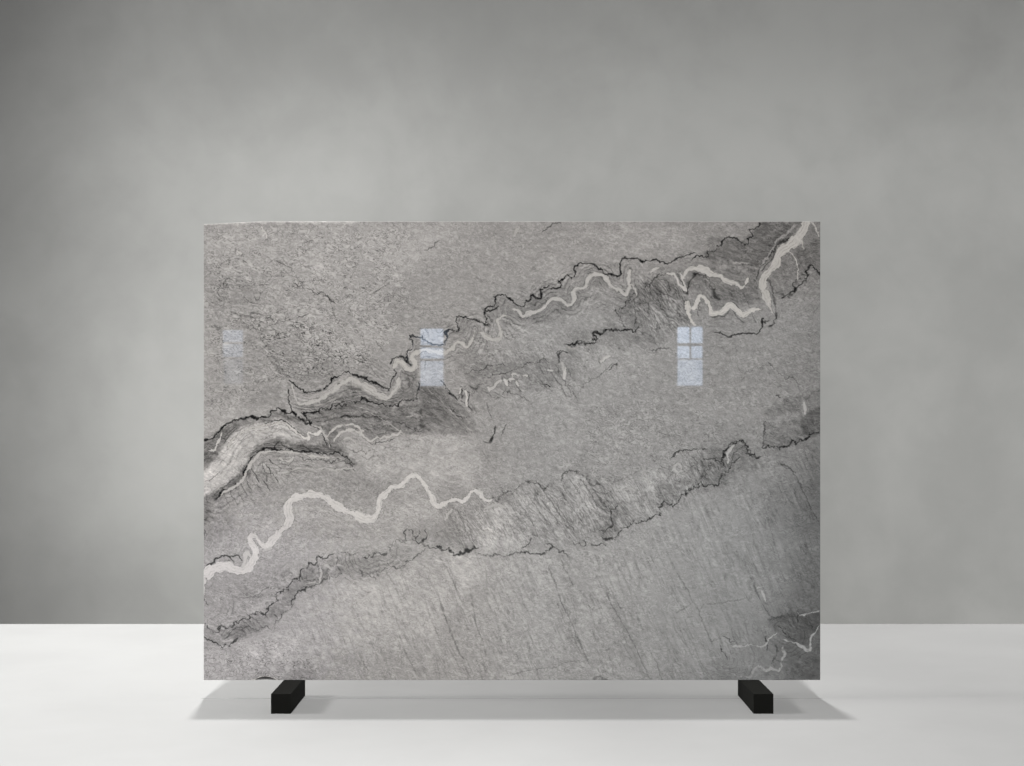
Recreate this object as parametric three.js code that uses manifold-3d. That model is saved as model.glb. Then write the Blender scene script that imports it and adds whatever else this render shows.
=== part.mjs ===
// A polished marble slab standing on edge across two square support blocks.
// Millimetres, +Z up, +X along the slab's length, and the polished face looks along -Y.
// The origin is on the floor, at the centre of the footprint.
import * as THREE from "three";
import { mergeVertices } from "three/addons/utils/BufferGeometryUtils.js";
import Module from "manifold-3d";

const wasm = await Module();
wasm.setup();

// Slab
const SLAB_LENGTH = 2620;
const SLAB_HEIGHT = 1948;
const SLAB_THICKNESS = 20;
const SLAB_ARRIS = 1.5; // width of the eased edge round both faces

// The sawn top edge runs down a little towards its left end.
const TOP_DROP = 11;
const TOP_DROP_LENGTH = 235;

// Shell-shaped chip out of the front lower edge
const CHIP = { x: -1048, halfLength: 46, height: 14, depth: 13 };
const CHIP_SEGMENTS = { around: 32, down: 16 };

// Support blocks
const BLOCK_SIDE = 80;
const BLOCK_LENGTH = 400;
const BLOCK_ARRIS = 1.2;
const BLOCK_FRONT_REACH = 320; // how far the blocks come forward of the polished face
const LEFT_BLOCK_X = -930;
const RIGHT_BLOCK_X = 1012;

// Places that follow from the sizes
const BLOCK_FRONT_Y = -BLOCK_LENGTH / 2;
const SLAB_FRONT_Y = BLOCK_FRONT_Y + BLOCK_FRONT_REACH;
const SLAB_BOTTOM_Z = BLOCK_SIDE;

const marble = new THREE.MeshStandardMaterial({ color: 0x9c9894, roughness: 0.18, metalness: 0 });
const blackPaint = new THREE.MeshStandardMaterial({ color: 0x1d1c1a, roughness: 0.6, metalness: 0 });

// A three.js geometry as a manifold-3d solid.
function toSolid(geometry) {
  const bare = geometry.index ? geometry.toNonIndexed() : geometry.clone();
  bare.deleteAttribute("normal");
  bare.deleteAttribute("uv");
  const merged = mergeVertices(bare, 1e-3);
  return new wasm.Manifold(
    new wasm.Mesh({
      numProp: 3,
      vertProperties: merged.attributes.position.array,
      triVerts: new Uint32Array(merged.index.array),
    }),
  );
}

// A manifold-3d solid as a flat-shaded three.js geometry.
function toGeometry(solid) {
  const mesh = solid.getMesh();
  const indexed = new THREE.BufferGeometry()
    .setAttribute("position", new THREE.BufferAttribute(mesh.vertProperties, 3))
    .setIndex(new THREE.BufferAttribute(mesh.triVerts, 1));
  const geometry = indexed.toNonIndexed();
  geometry.computeVertexNormals();
  return geometry;
}

// An outline in the XY plane pulled along +Z to the given depth, with all its edges eased by `arris`.
function easedPlate(shape, depth, arris) {
  return new THREE.ExtrudeGeometry(shape, {
    depth: depth - 2 * arris,
    bevelEnabled: true,
    bevelThickness: arris,
    bevelSize: arris,
    bevelOffset: -arris,
    bevelSegments: 2,
    curveSegments: 4,
  }).translate(0, 0, arris);
}

// The slab seen from the front: a rectangle whose top edge drops towards the left end.
function slabOutline() {
  const half = SLAB_LENGTH / 2;
  const shape = new THREE.Shape();
  shape.moveTo(-half, 0);
  shape.lineTo(half, 0);
  shape.lineTo(half, SLAB_HEIGHT);
  shape.lineTo(-half + TOP_DROP_LENGTH, SLAB_HEIGHT);
  shape.lineTo(-half, SLAB_HEIGHT - TOP_DROP);
  shape.closePath();
  return shape;
}

// The shell-shaped scoop that the chip leaves, centred on the front lower edge.
function chipScoop() {
  return new THREE.SphereGeometry(1, CHIP_SEGMENTS.around, CHIP_SEGMENTS.down)
    .scale(CHIP.halfLength, CHIP.depth, CHIP.height)
    .translate(CHIP.x, SLAB_FRONT_Y, SLAB_BOTTOM_Z);
}

function slab() {
  const plate = easedPlate(slabOutline(), SLAB_THICKNESS, SLAB_ARRIS)
    .rotateX(Math.PI / 2)
    .translate(0, SLAB_FRONT_Y + SLAB_THICKNESS, SLAB_BOTTOM_Z);
  const chipped = toSolid(plate).subtract(toSolid(chipScoop()));
  const mesh = new THREE.Mesh(toGeometry(chipped), marble);
  mesh.name = "slab";
  return mesh;
}

function supportBlock(name, x) {
  const half = BLOCK_SIDE / 2;
  const section = new THREE.Shape();
  section.moveTo(-half + BLOCK_ARRIS, -half);
  section.lineTo(half - BLOCK_ARRIS, -half);
  section.lineTo(half, -half + BLOCK_ARRIS);
  section.lineTo(half, half - BLOCK_ARRIS);
  section.lineTo(half - BLOCK_ARRIS, half);
  section.lineTo(-half + BLOCK_ARRIS, half);
  section.lineTo(-half, half - BLOCK_ARRIS);
  section.lineTo(-half, -half + BLOCK_ARRIS);
  section.closePath();
  const geometry = easedPlate(section, BLOCK_LENGTH, BLOCK_ARRIS)
    .rotateX(Math.PI / 2)
    .translate(0, BLOCK_LENGTH, 0);
  const mesh = new THREE.Mesh(geometry, blackPaint);
  mesh.name = name;
  mesh.position.set(x, BLOCK_FRONT_Y, half);
  return mesh;
}

const part = new THREE.Group();
part.add(slab());
part.add(supportBlock("left_block", LEFT_BLOCK_X));
part.add(supportBlock("right_block", RIGHT_BLOCK_X));

export default part;
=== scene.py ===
import math

import bpy
import numpy as np
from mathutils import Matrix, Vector
from mathutils.geometry import delaunay_2d_cdt


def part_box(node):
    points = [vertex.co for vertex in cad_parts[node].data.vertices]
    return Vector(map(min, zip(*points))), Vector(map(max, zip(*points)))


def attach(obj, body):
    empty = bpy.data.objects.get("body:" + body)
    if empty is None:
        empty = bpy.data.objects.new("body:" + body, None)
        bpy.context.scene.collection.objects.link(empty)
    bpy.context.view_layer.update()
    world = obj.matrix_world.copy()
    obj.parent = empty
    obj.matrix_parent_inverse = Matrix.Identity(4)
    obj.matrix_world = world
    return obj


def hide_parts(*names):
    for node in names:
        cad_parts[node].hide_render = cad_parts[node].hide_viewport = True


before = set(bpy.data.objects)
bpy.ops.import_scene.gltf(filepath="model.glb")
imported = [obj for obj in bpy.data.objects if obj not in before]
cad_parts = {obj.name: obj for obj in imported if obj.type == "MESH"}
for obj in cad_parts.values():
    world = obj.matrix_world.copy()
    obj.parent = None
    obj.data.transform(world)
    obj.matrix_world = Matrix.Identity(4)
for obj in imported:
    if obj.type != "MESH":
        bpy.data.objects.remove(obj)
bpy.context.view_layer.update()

# ---------------------------------------------------------------------------------------------
# Sizes and places, in metres, in the frame's own axes: the front face looks along -Y.
# ---------------------------------------------------------------------------------------------
SLAB_LOW, SLAB_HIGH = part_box("slab")
SLAB_LEFT, SLAB_FRONT, SLAB_BOTTOM = SLAB_LOW
SLAB_RIGHT, SLAB_BACK, SLAB_TOP = SLAB_HIGH
SLAB_THICKNESS = SLAB_BACK - SLAB_FRONT
ARRIS = 0.0015
TOP_DROP = 0.011
TOP_DROP_LENGTH = 0.235
CHIP_X = -1.048
CHIP_HALF_LENGTH = 0.046
CHIP_HEIGHT = 0.0155
CHIP_DEPTH = 0.013

# The pattern is laid out on a drawing of the front face: x grows to the right, y grows downwards.
DRAWING_LEFT = 203.7
DRAWING_RIGHT = 820.4
DRAWING_TOP = 221.45
DRAWING_BOTTOM = 680.05
UNIT_X = (SLAB_RIGHT - SLAB_LEFT) / (DRAWING_RIGHT - DRAWING_LEFT)
UNIT_Z = (SLAB_TOP - SLAB_BOTTOM) / (DRAWING_BOTTOM - DRAWING_TOP)

# ---------------------------------------------------------------------------------------------
# The pattern's lines, in drawing units. A dark line is (width, strength, roughness, points).
# ---------------------------------------------------------------------------------------------
DARK_LINES = [
    # upper suture
    (2.4, 0.85, 0.55, [(391, 363), (392, 359), (395, 357.5), (403, 357), (407, 361), (411, 365)]),
    (2.6, 0.95, 0.55, [(408, 360), (407, 354), (408, 351), (412, 350), (413, 345), (413, 342), (411, 339.5),
     (409, 335), (414.5, 336.5), (419, 337.5)]),
    (2.4, 0.85, 0.55, [(419, 337.5), (427, 341), (436, 345), (443, 345), (446, 340), (447, 335), (445, 332),
     (448, 330), (452, 330), (457, 333), (458.6, 330), (457.5, 325), (456, 321), (457.5, 317), (460, 316),
     (471, 319), (477, 320.6), (483, 322.6), (487, 325.7), (486, 319.5), (486, 315), (484, 312), (488, 311),
     (493, 309), (497.5, 307)]),
    (2.3, 0.85, 0.55, [(485, 309), (489, 307), (493, 306), (496, 303), (496, 299), (494, 297), (496.5, 295),
     (500, 294.4), (505, 295.4), (509, 298), (513, 301), (516, 304), (520, 305), (523, 306.7), (526, 302),
     (530.5, 300), (530.5, 294.4), (538, 297.5), (542, 297), (540, 291), (540, 289), (545, 289), (548, 286),
     (551.5, 288), (561, 287), (560, 282), (563, 280.6), (565, 275.4), (568, 274), (573.5, 276.5),
     (575, 274), (574, 270), (576, 266), (579, 263.6), (586, 264.7), (590, 263.6), (595, 266), (601, 269),
     (605, 273), (610.5, 273.4), (616.6, 277), (620, 275), (620, 269), (620, 262), (623, 259), (625, 258),
     (630, 260), (637, 259.5), (639, 261.6), (644, 262), (647, 259.5), (655.6, 259.5), (661, 261.6),
     (668, 264)]),
    (2.0, 0.8, 0.4, [(668, 263), (672, 262), (675, 261), (676, 258), (680, 257), (685, 256), (690, 255),
     (694, 252.6)]),
    (2.0, 0.8, 0.5, [(692, 259.6), (694, 257), (699, 254.6), (703, 256), (706, 257.6), (709.6, 256.6),
     (709, 254), (706.6, 252.4), (708, 250.6), (714, 251.6), (716, 248.6), (716, 246.4), (721.6, 246),
     (723, 242.4), (725, 239.6), (729, 237), (733, 237), (737, 238.6), (740, 241), (744, 243),
     (748.6, 243.2), (748.6, 240.6), (746.6, 238), (753.6, 236.6), (751, 233), (751.6, 229.6), (755, 229),
     (756, 227), (759, 226), (759.6, 223)]),
    (3.2, 0.7, 0.4, [(687.6, 293.5), (687.2, 288), (689, 283), (691.6, 278), (694, 274), (698, 273)]),
    (2.4, 0.7, 0.4, [(698, 274), (700, 275.6), (704, 276), (706, 274.4)]),
    (4.4, 0.55, 0.3, [(706, 277), (709, 281), (711, 286), (713, 291), (715, 295), (718, 299)]),
    (2.0, 0.6, 0.4, [(676.4, 279.6), (678.6, 284), (681, 288), (684, 291.4)]),
    (1.8, 0.55, 0.4, [(677, 273), (679, 277), (682, 282), (683.6, 286)]),
    (2.4, 0.55, 0.3, [(762.6, 270), (768, 263), (773, 258), (774, 252), (777.6, 244), (781, 241.6),
     (786, 240.6), (789.6, 238)]),
    (3.0, 0.5, 0.3, [(713, 317), (719, 316), (725, 316), (728, 311), (731, 309.4), (734, 313), (738, 318),
     (743, 322)]),
    (2.2, 0.5, 0.3, [(723, 306), (729, 302.4), (734, 303), (738, 307.4), (742, 312), (744, 315.4)]),
    (2.6, 0.5, 0.3, [(699, 300), (698.4, 308), (698, 315)]),
    (2.6, 0.45, 0.4, [(751, 312), (754, 317), (756, 322)]),
    (2.2, 0.6, 0.6, [(794, 291), (794, 287), (793.6, 283), (797, 279.6), (799, 279)]),
    (2.0, 0.6, 0.5, [(803, 274.6), (806.6, 276)]),
    (3.0, 0.45, 0.9, [(780, 294), (785, 295), (790, 295.6), (795, 293)]),
    # the line over the folded band
    (2.6, 0.9, 0.5, [(289, 380), (295, 385), (302.6, 390), (304.6, 392.5), (314, 392), (323, 390),
     (328, 386), (331, 379), (337, 377), (342.6, 373.5), (347, 372), (354, 374), (363, 378), (370, 380),
     (375.5, 383), (382, 387), (389, 389.4), (391, 384), (395.5, 373), (394, 368)]),
    # the line under the folded band
    (2.6, 0.85, 0.55, [(304, 413), (314, 412), (319.5, 413), (320.5, 409), (331, 410), (334, 406),
     (340, 405), (345.6, 406), (350, 402), (355, 403), (362, 397.6), (367, 400), (375.5, 404), (390, 406),
     (398.6, 406), (403, 400), (407, 399.7), (418, 400), (417.5, 395), (418.6, 389), (419, 383)]),
    # right-hand darks
    (2.0, 0.55, 0.4, [(786, 238), (780, 243), (774, 248), (771, 254), (766, 261), (760, 268), (757, 277.5),
     (757, 288)]),
    (1.8, 0.4, 0.3, [(799, 236), (802, 242), (805, 250)]),
    (2.2, 0.4, 0.3, [(703, 276), (707, 284), (712, 292), (716, 298)]),
    (2.0, 0.35, 0.3, [(713, 283), (718, 292), (724, 300)]),
    (2.2, 0.35, 0.3, [(742, 292), (747, 300), (750, 309)]),
    (1.8, 0.3, 0.3, [(727, 288), (732, 296), (737, 302)]),
    (4.0, 0.5, 0.4, [(767, 279), (770, 282), (771.6, 288), (773, 292), (774.6, 300), (776, 310),
     (777, 317)]),
    (2.6, 0.75, 0.6, [(819.8, 274), (816, 269), (811.6, 266), (807.5, 271), (806.5, 279.5), (800, 285),
     (795, 290), (790, 294), (782, 298)]),
    (1.8, 0.5, 0.4, [(777.7, 243.6), (788, 240)]),
    (2.4, 0.75, 0.5, [(714, 332), (721, 333), (725, 335), (728, 336.6), (731, 335.6), (734, 333.6),
     (738, 334.4), (744, 334), (749, 333.4), (755, 333), (759.6, 332), (760, 330), (762, 327), (762, 323),
     (763, 319), (765, 322), (768, 321)]),
    (3.2, 0.7, 0.5, [(776, 315), (776, 318), (773.4, 320.4), (774, 324), (770, 326)]),
    # middle darks
    (2.0, 0.6, 0.6, [(634.6, 293), (632, 294), (630, 300), (624, 301), (626, 307), (622, 308), (617, 311),
     (620, 317.5), (624, 326)]),
    (2.6, 0.8, 0.7, [(637.6, 328), (634, 332), (630, 329), (620, 331), (608, 330), (605, 329), (603, 334),
     (599, 334), (595, 331), (594, 333), (596.6, 339), (592, 337.5), (596, 342.6), (590, 342), (584, 342.6),
     (577.6, 340), (573.5, 345.7), (566, 344)]),
    (3.2, 0.8, 0.5, [(606, 330), (603, 333), (599, 333), (596, 332)]),
    (2.0, 0.55, 0.6, [(567, 352), (561, 351), (557.6, 353), (558.7, 360.6)]),
    (1.8, 0.55, 0.5, [(465, 374), (470, 372), (473, 370), (478, 371), (483, 369), (488, 366), (493, 365),
     (502, 364), (505, 366)]),
    (1.8, 0.55, 0.5, [(488, 378), (493, 377), (496, 374), (502, 374), (507, 373), (512, 371), (518, 369),
     (522, 367), (526, 364), (533, 363), (538, 363), (541, 360), (546, 359), (549, 363)]),
    (1.8, 0.5, 0.5, [(568, 353), (565, 352), (561, 351), (557, 353), (559, 357), (559, 362)]),
    (2.0, 0.5, 0.6, [(565, 344), (571, 345), (573, 346), (577, 344), (582, 341), (585, 343), (589, 342),
     (596, 343)]),
    (1.8, 0.5, 0.6, [(619, 349), (625, 351)]),
    (1.8, 0.65, 0.5, [(616, 364), (613, 366), (611, 368), (609, 370)]),
    (1.8, 0.4, 0.5, [(606, 367), (606, 371), (601, 375), (597, 378), (591, 378), (586, 381), (583, 385),
     (580, 390), (578, 394)]),
    (2.6, 0.75, 0.4, [(546, 384), (550, 387)]),
    (1.8, 0.35, 0.5, [(541, 386), (546, 386), (556, 387), (562, 390), (565, 394), (571, 397)]),
    (2.4, 0.5, 0.5, [(568, 385), (571, 386)]),
    (2.0, 0.45, 0.4, [(558, 371), (563, 379), (567, 386), (571, 393)]),
    (2.0, 0.4, 0.4, [(550, 370), (553, 375), (556, 379), (562, 385)]),
    (1.8, 0.35, 0.4, [(547, 368), (548, 374), (548, 380)]),
    (1.8, 0.4, 0.4, [(535, 374), (539, 378), (543, 382), (546, 385)]),
    (2.0, 0.4, 0.4, [(585, 348), (589, 353), (593, 357)]),
    (1.8, 0.35, 0.4, [(566, 365), (569, 372), (573, 379)]),
    (2.0, 0.35, 0.6, [(580, 361), (588, 360)]),
    (1.8, 0.4, 0.5, [(485, 392), (490, 395), (495, 398), (499, 397)]),
    (1.8, 0.4, 0.5, [(496, 393), (501, 396), (505, 398)]),
    (1.8, 0.5, 0.5, [(503, 394), (505, 391), (509, 392), (514, 394)]),
    (1.8, 0.45, 0.5, [(516, 394), (521, 396), (525, 398), (529, 401)]),
    (3.4, 0.6, 0.5, [(513, 378), (517, 379)]),
    (2.0, 0.5, 0.4, [(515, 381), (517, 387), (520, 390)]),
    (2.0, 0.5, 0.5, [(525, 373), (528, 374), (529, 377)]),
    (2.2, 0.5, 0.5, [(502, 377), (504, 381)]),
    (1.8, 0.5, 0.4, [(508, 379), (509, 384)]),
    (3.0, 0.5, 0.6, [(471, 388), (477, 389)]),
    (1.8, 0.45, 0.5, [(478, 384), (482, 384)]),
    (1.8, 0.45, 0.5, [(472, 390), (472, 395)]),
    (3.6, 0.6, 0.5, [(462, 393), (462, 398)]),
    (1.8, 0.3, 0.4, [(532, 406), (536, 410), (537, 414)]),
    (1.8, 0.35, 0.5, [(596, 421), (600, 425)]),
    (2.0, 0.6, 0.6, [(672, 274), (664, 274), (657.6, 276.5), (653.5, 280.6), (648, 286), (643, 283)]),
    (2.2, 0.5, 0.6, [(650.5, 350), (654.6, 351), (658.7, 348), (668, 348)]),
    (1.8, 0.55, 0.5, [(543, 231), (546, 229), (550, 226), (551.5, 223), (560, 222.6)]),
    # left group
    (3.2, 0.9, 0.6, [(204.2, 440), (207, 439.7), (212, 438.6), (214, 435.6), (218.5, 432), (223.6, 426),
     (230, 423), (234, 420.7), (241, 418), (246, 416.6), (253, 417), (261.5, 417.6), (268.7, 417.6),
     (271, 411.5), (274, 412), (278, 408.4), (282, 411), (287, 414), (292, 413), (296, 416.6)]),
    (2.6, 0.85, 0.5, [(288.7, 390), (288.7, 397.6), (290, 405), (293, 411), (297, 415)]),
    (2.6, 0.8, 0.5, [(301.5, 412.5), (305.6, 418), (311, 423)]),
    (2.6, 0.8, 0.5, [(298.5, 417), (306.7, 424), (313, 426), (322, 429), (324, 435.6), (327, 445)]),
    (3.0, 0.8, 0.6, [(338.5, 452), (328, 454), (318, 453), (308, 451.5), (297, 451), (289, 449.4),
     (281, 450), (272, 449.4), (265.6, 448), (263, 450.4), (257, 452), (253, 455), (249, 462), (246, 469),
     (243, 476.6), (241, 481.7), (236, 486), (231, 489), (223.6, 491.5), (220, 494), (217, 498)]),
    (2.4, 0.75, 0.6, [(338.5, 452), (341.5, 455), (346.7, 457), (350, 460), (354, 464)]),
    # right of the dark wedge
    (2.0, 0.5, 0.6, [(356, 416.6), (368, 414), (376.5, 417.6), (385, 418.6), (397, 423), (404, 425),
     (411, 429.4), (430, 429.4)]),
    (2.4, 0.7, 0.5, [(441.6, 381), (448, 389), (457.5, 399), (462.7, 389)]),
    (2.0, 0.55, 0.5, [(461.6, 400.7), (467, 405), (471, 409)]),
    (2.0, 0.5, 0.5, [(452, 411), (458.6, 416), (462.7, 417.6), (469, 416)]),
    (1.9, 0.55, 0.4, [(487, 405), (491, 416)]),
    (3.2, 0.65, 0.4, [(495.5, 427), (493, 433.5), (490.4, 442.7)]),
    (2.0, 0.5, 0.4, [(505.7, 425), (501.6, 435)]),
    # lower boundary of the middle, right to left
    (2.2, 0.5, 0.5, [(563, 478.6), (565, 472.5), (569.4, 470), (575.6, 471.5), (583, 475.6)]),
    (2.0, 0.45, 0.5, [(529, 484), (533, 481.7), (537.6, 484), (543, 489)]),
    (3.0, 0.45, 0.7, [(588, 482), (594, 485), (600, 484)]),
    (3.0, 0.4, 0.7, [(600, 500), (605, 506), (610.5, 510)]),
    (2.6, 0.55, 0.7, [(597, 530), (607, 529.4), (612.5, 527), (613, 521.7), (611, 516.6), (610.5, 509.4),
     (617.6, 506)]),
    (2.4, 0.6, 0.7, [(510, 555), (516, 552.5), (524, 552), (530, 553), (536, 554), (541, 555), (545, 555),
     (547, 551), (551, 548)]),
    (2.6, 0.6, 0.7, [(523, 547.5), (528, 545), (531, 540)]),
    (2.8, 0.6, 0.7, [(547, 544), (552, 543), (554, 547), (550, 549)]),
    (2.0, 0.55, 0.6, [(556, 548), (560, 553), (564, 551), (567, 555)]),
    (2.0, 0.6, 0.6, [(573, 542), (575, 545), (580, 543), (583, 546), (585.5, 545), (584, 541), (587, 542)]),
    (2.6, 0.7, 0.8, [(593, 545), (597, 545.5), (601, 544), (605, 545)]),
    (2.8, 0.6, 0.9, [(602, 537), (606, 540), (610, 540), (614, 540), (616, 536), (619, 532), (622, 530)]),
    (2.2, 0.65, 0.7, [(622, 528), (632, 524), (642, 521.7), (648.5, 519), (655.6, 514.5), (660.7, 515.6),
     (660, 509), (663, 503), (668, 504), (674, 505), (679, 501), (681, 497), (685, 495), (687.5, 490),
     (692.6, 489), (698, 486), (700, 481.7), (705, 487), (714, 486), (720, 486), (720, 480), (722, 474.5),
     (729.5, 471.5), (730, 465), (735, 462), (740, 457)]),
    (2.6, 0.75, 0.7, [(724, 465), (723, 458), (725, 452), (728.5, 447), (734, 445), (742, 440), (746, 444),
     (748, 452), (753, 457), (759, 458)]),
    (2.2, 0.6, 0.7, [(705, 459), (709, 458), (715, 457.6), (719, 462), (724, 466)]),
    (2.4, 0.6, 0.6, [(671, 458), (679, 449.4), (688.5, 450), (699, 449), (707, 449)]),
    (2.4, 0.7, 0.6, [(763, 449), (766, 446), (769, 444), (772, 447), (777, 446), (780, 450)]),
    (2.0, 0.5, 0.4, [(765, 425), (764, 434), (764, 441), (762, 448)]),
    (1.8, 0.4, 0.4, [(766, 422), (771, 425), (775, 426), (778, 430)]),
    (2.0, 0.45, 0.5, [(768, 362), (773, 368), (780, 373), (786, 378), (793, 377)]),
    (2.0, 0.35, 0.5, [(793, 377), (797, 383), (801, 392), (806, 398), (812, 393), (821, 390)]),
    (1.8, 0.35, 0.6, [(742, 380), (746, 372), (751, 372), (755, 367), (761, 370), (766, 364)]),
    (1.8, 0.35, 0.5, [(764, 452), (768, 458), (764, 460)]),
    (2.2, 0.5, 0.5, [(742, 440), (746, 447), (752, 455), (757, 458), (762, 456)]),
    (2.2, 0.5, 0.4, [(781, 464), (786, 466), (790, 468), (795, 472)]),
    (2.0, 0.55, 0.5, [(724, 465), (722, 458), (725, 450), (729, 445), (736, 441)]),
    (1.8, 0.45, 0.5, [(731, 462), (733, 455), (738, 449), (743, 446)]),
    (2.0, 0.45, 0.8, [(704, 478), (708, 474), (706, 470), (711, 468), (709, 463), (715, 466), (719, 470)]),
    (2.0, 0.45, 0.8, [(699, 480), (703, 474), (700, 470), (704, 466), (702, 462)]),
    (1.8, 0.35, 0.4, [(686, 451), (692, 455), (696, 462), (698, 470)]),
    (1.8, 0.35, 0.5, [(660, 465), (666, 468), (671, 472), (668, 478)]),
    (1.8, 0.35, 0.5, [(612, 484), (620, 480), (628, 476), (636, 472)]),
    (1.8, 0.3, 0.5, [(614, 450), (620, 446), (628, 444), (633, 438)]),
    (1.8, 0.3, 0.5, [(659, 432), (664, 434), (670, 435), (675, 440)]),
    (2.2, 0.4, 0.3, [(588, 482), (594, 490), (601, 500), (608, 509)]),
    (2.0, 0.35, 0.3, [(596, 480), (604, 488), (612, 496), (618, 504)]),
    (2.0, 0.35, 0.3, [(586, 492), (592, 504), (600, 516)]),
    (1.8, 0.3, 0.3, [(574, 500), (584, 516), (592, 530)]),
    (2.4, 0.75, 0.6, [(780, 447), (788, 446), (790, 444), (793, 441), (798, 443), (800, 439), (806.5, 440),
     (811, 434.5), (819, 432.5)]),
    (2.0, 0.5, 0.5, [(765, 421), (765, 434.5)]),
    (2.4, 0.6, 0.5, [(775, 395.6), (780, 397.6)]),
    (2.4, 0.45, 0.4, [(781, 465), (786, 468), (793, 471.5), (798, 479), (802, 489), (806.5, 499),
     (811.6, 509), (816, 519), (820, 526)]),
    # lower left sutures
    (2.0, 0.65, 0.5, [(204.2, 624), (207, 624), (209, 627), (212, 630), (216, 633), (219, 634), (220, 631),
     (218.5, 629), (219, 626), (221.5, 625)]),
    (2.0, 0.8, 0.7, [(219, 630), (221.5, 625.5), (223, 628), (226, 629.5), (229, 627), (233, 626.5),
     (235, 622), (238, 624), (242, 621), (247, 619), (251, 620), (253, 613), (255, 611), (258, 611),
     (262, 613), (266, 616), (268, 610), (269, 605), (272, 606), (274, 604), (277, 600), (278, 594),
     (282, 594), (284, 590), (288, 589), (290, 583), (294, 578), (297, 581), (300, 580), (301, 570),
     (306, 568), (311, 563), (314, 563), (316, 562), (318, 556), (322, 559), (326, 557), (330, 554.5),
     (333, 554)]),
    (2.8, 0.85, 0.5, [(204.2, 637), (206, 639), (212, 640), (216, 643), (219, 646), (222, 648), (226, 646),
     (230, 644), (234, 641), (237, 639)]),
    (1.8, 0.5, 0.5, [(224, 640), (227, 636), (230, 632), (235, 629), (240, 627), (248, 626), (253, 629),
     (259, 631), (262, 627), (266, 626), (270, 629), (271, 631), (275, 626), (277, 621), (279, 621)]),
    (2.0, 0.55, 0.6, [(275, 615), (278, 620), (281, 617), (285, 611), (292, 608.5), (294, 605),
     (291, 601)]),
    (2.4, 0.75, 0.6, [(291, 601), (295, 597), (298, 592), (300, 589), (303, 590), (306, 587)]),
    (2.2, 0.55, 0.6, [(302, 587), (306, 587), (312, 587), (318, 584), (321, 583), (323, 580), (330, 577),
     (336, 576), (342, 573.5)]),
    (1.8, 0.5, 0.6, [(300, 576), (306, 580), (312, 581), (317, 579), (320, 580)]),
    (1.8, 0.4, 0.5, [(318, 556), (317, 567), (319, 575)]),
    (2.0, 0.5, 0.6, [(342, 552.5), (349, 553), (355, 554.5), (357, 553)]),
    (3.2, 0.6, 0.8, [(364, 557.5), (368, 558), (372, 557), (374, 554), (380, 554), (386, 555), (387, 553)]),
    (2.0, 0.45, 0.5, [(390, 549), (393, 544), (395, 540), (400, 540), (406, 541)]),
    (2.0, 0.5, 0.6, [(401, 542), (406, 543.5)]),
    (2.6, 0.6, 0.6, [(406, 540), (405, 533), (405, 530), (408, 528), (411, 530), (413, 534)]),
    (2.2, 0.55, 0.6, [(413, 536), (419, 537), (420, 532)]),
    (2.6, 0.65, 0.6, [(425, 530), (426, 538), (423, 539), (422, 542.5), (418, 542), (413, 540)]),
    (2.0, 0.55, 0.6, [(422, 544), (426, 546), (431, 547), (437, 547), (441, 548)]),
    (3.0, 0.75, 0.8, [(437, 546), (441, 548), (443, 552), (446, 550), (448, 550), (451, 553), (456, 555),
     (459, 555), (460, 551), (464, 551.5), (468, 549), (471, 549), (478, 548)]),
    (2.2, 0.6, 0.6, [(425, 549), (421, 554), (416, 557), (412, 558), (409, 560), (405, 564), (402, 566.5),
     (394, 567), (390, 566), (388, 563)]),
    (2.2, 0.5, 0.8, [(360, 570), (362, 576), (368, 576), (371, 577), (375, 577.5), (377, 572), (381, 571),
     (384, 568), (388, 568)]),
    (2.2, 0.5, 0.7, [(478, 553), (490, 556), (500, 555), (510, 555)]),
    # above the white vein's lower end
    (2.2, 0.8, 0.5, [(204.4, 568), (208, 565), (212, 563), (216, 560), (220, 557.5), (225, 556), (229, 557),
     (232, 559), (234, 562)]),
    (1.9, 0.7, 0.4, [(231, 556), (236, 556), (239, 557), (242, 560.5)]),
    (2.6, 0.55, 0.8, [(204.6, 597), (206, 600), (207, 604)]),
    (2.6, 0.5, 0.8, [(204.6, 530), (206, 534), (205, 539)]),
    # lower right corner
    (2.6, 0.6, 0.5, [(720, 645), (722, 649), (725, 653), (727.5, 659)]),
    (2.2, 0.5, 0.5, [(723, 636), (728, 639), (731, 642), (735, 641)]),
    (2.2, 0.4, 0.5, [(710, 638), (712, 643), (715, 638), (720, 638)]),
    (2.6, 0.65, 0.5, [(780, 627), (783, 632), (786, 634)]),
    (2.0, 0.5, 0.5, [(784, 636), (790, 638), (796, 640)]),
    (2.4, 0.65, 0.4, [(798, 611), (797.6, 616), (798, 621)]),
    (2.2, 0.5, 0.6, [(770, 621), (772, 617), (776, 619), (781, 618), (788, 619)]),
    (2.4, 0.5, 0.6, [(776, 646), (777, 652), (774, 658), (772, 664), (775, 667)]),
    (2.4, 0.6, 0.5, [(766, 636), (767, 642), (767, 650)]),
    # fan of strokes under the lower fold
    (1.8, 0.45, 0.3, [(246, 477), (248, 482), (251, 489)]),
    (1.8, 0.45, 0.3, [(241, 483), (243.5, 489), (247, 495)]),
    (1.8, 0.4, 0.3, [(236, 488), (239, 494), (243, 500)]),
    (1.8, 0.45, 0.3, [(230, 491), (233, 497), (237, 504)]),
    (1.8, 0.4, 0.3, [(224, 494), (227, 500), (230, 506)]),
    (2.0, 0.5, 0.5, [(215, 494), (222, 487), (229, 482), (234, 479)]),
    # over the folded band
    (1.8, 0.4, 0.5, [(270, 360), (277, 366), (284, 372), (291, 378)]),
    (1.8, 0.4, 0.5, [(262, 352), (270, 361), (279, 371), (285, 376), (291, 374), (297, 377)]),
    (1.6, 0.35, 0.5, [(285, 280), (292, 285), (299, 288), (306, 291), (313, 293), (321, 295), (328, 298),
     (335, 303)]),
    (1.6, 0.3, 0.5, [(206, 290), (213, 287), (220, 287), (223, 283)]),
    (1.6, 0.35, 0.5, [(242, 296), (248, 302), (255, 304), (262, 305)]),
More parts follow.
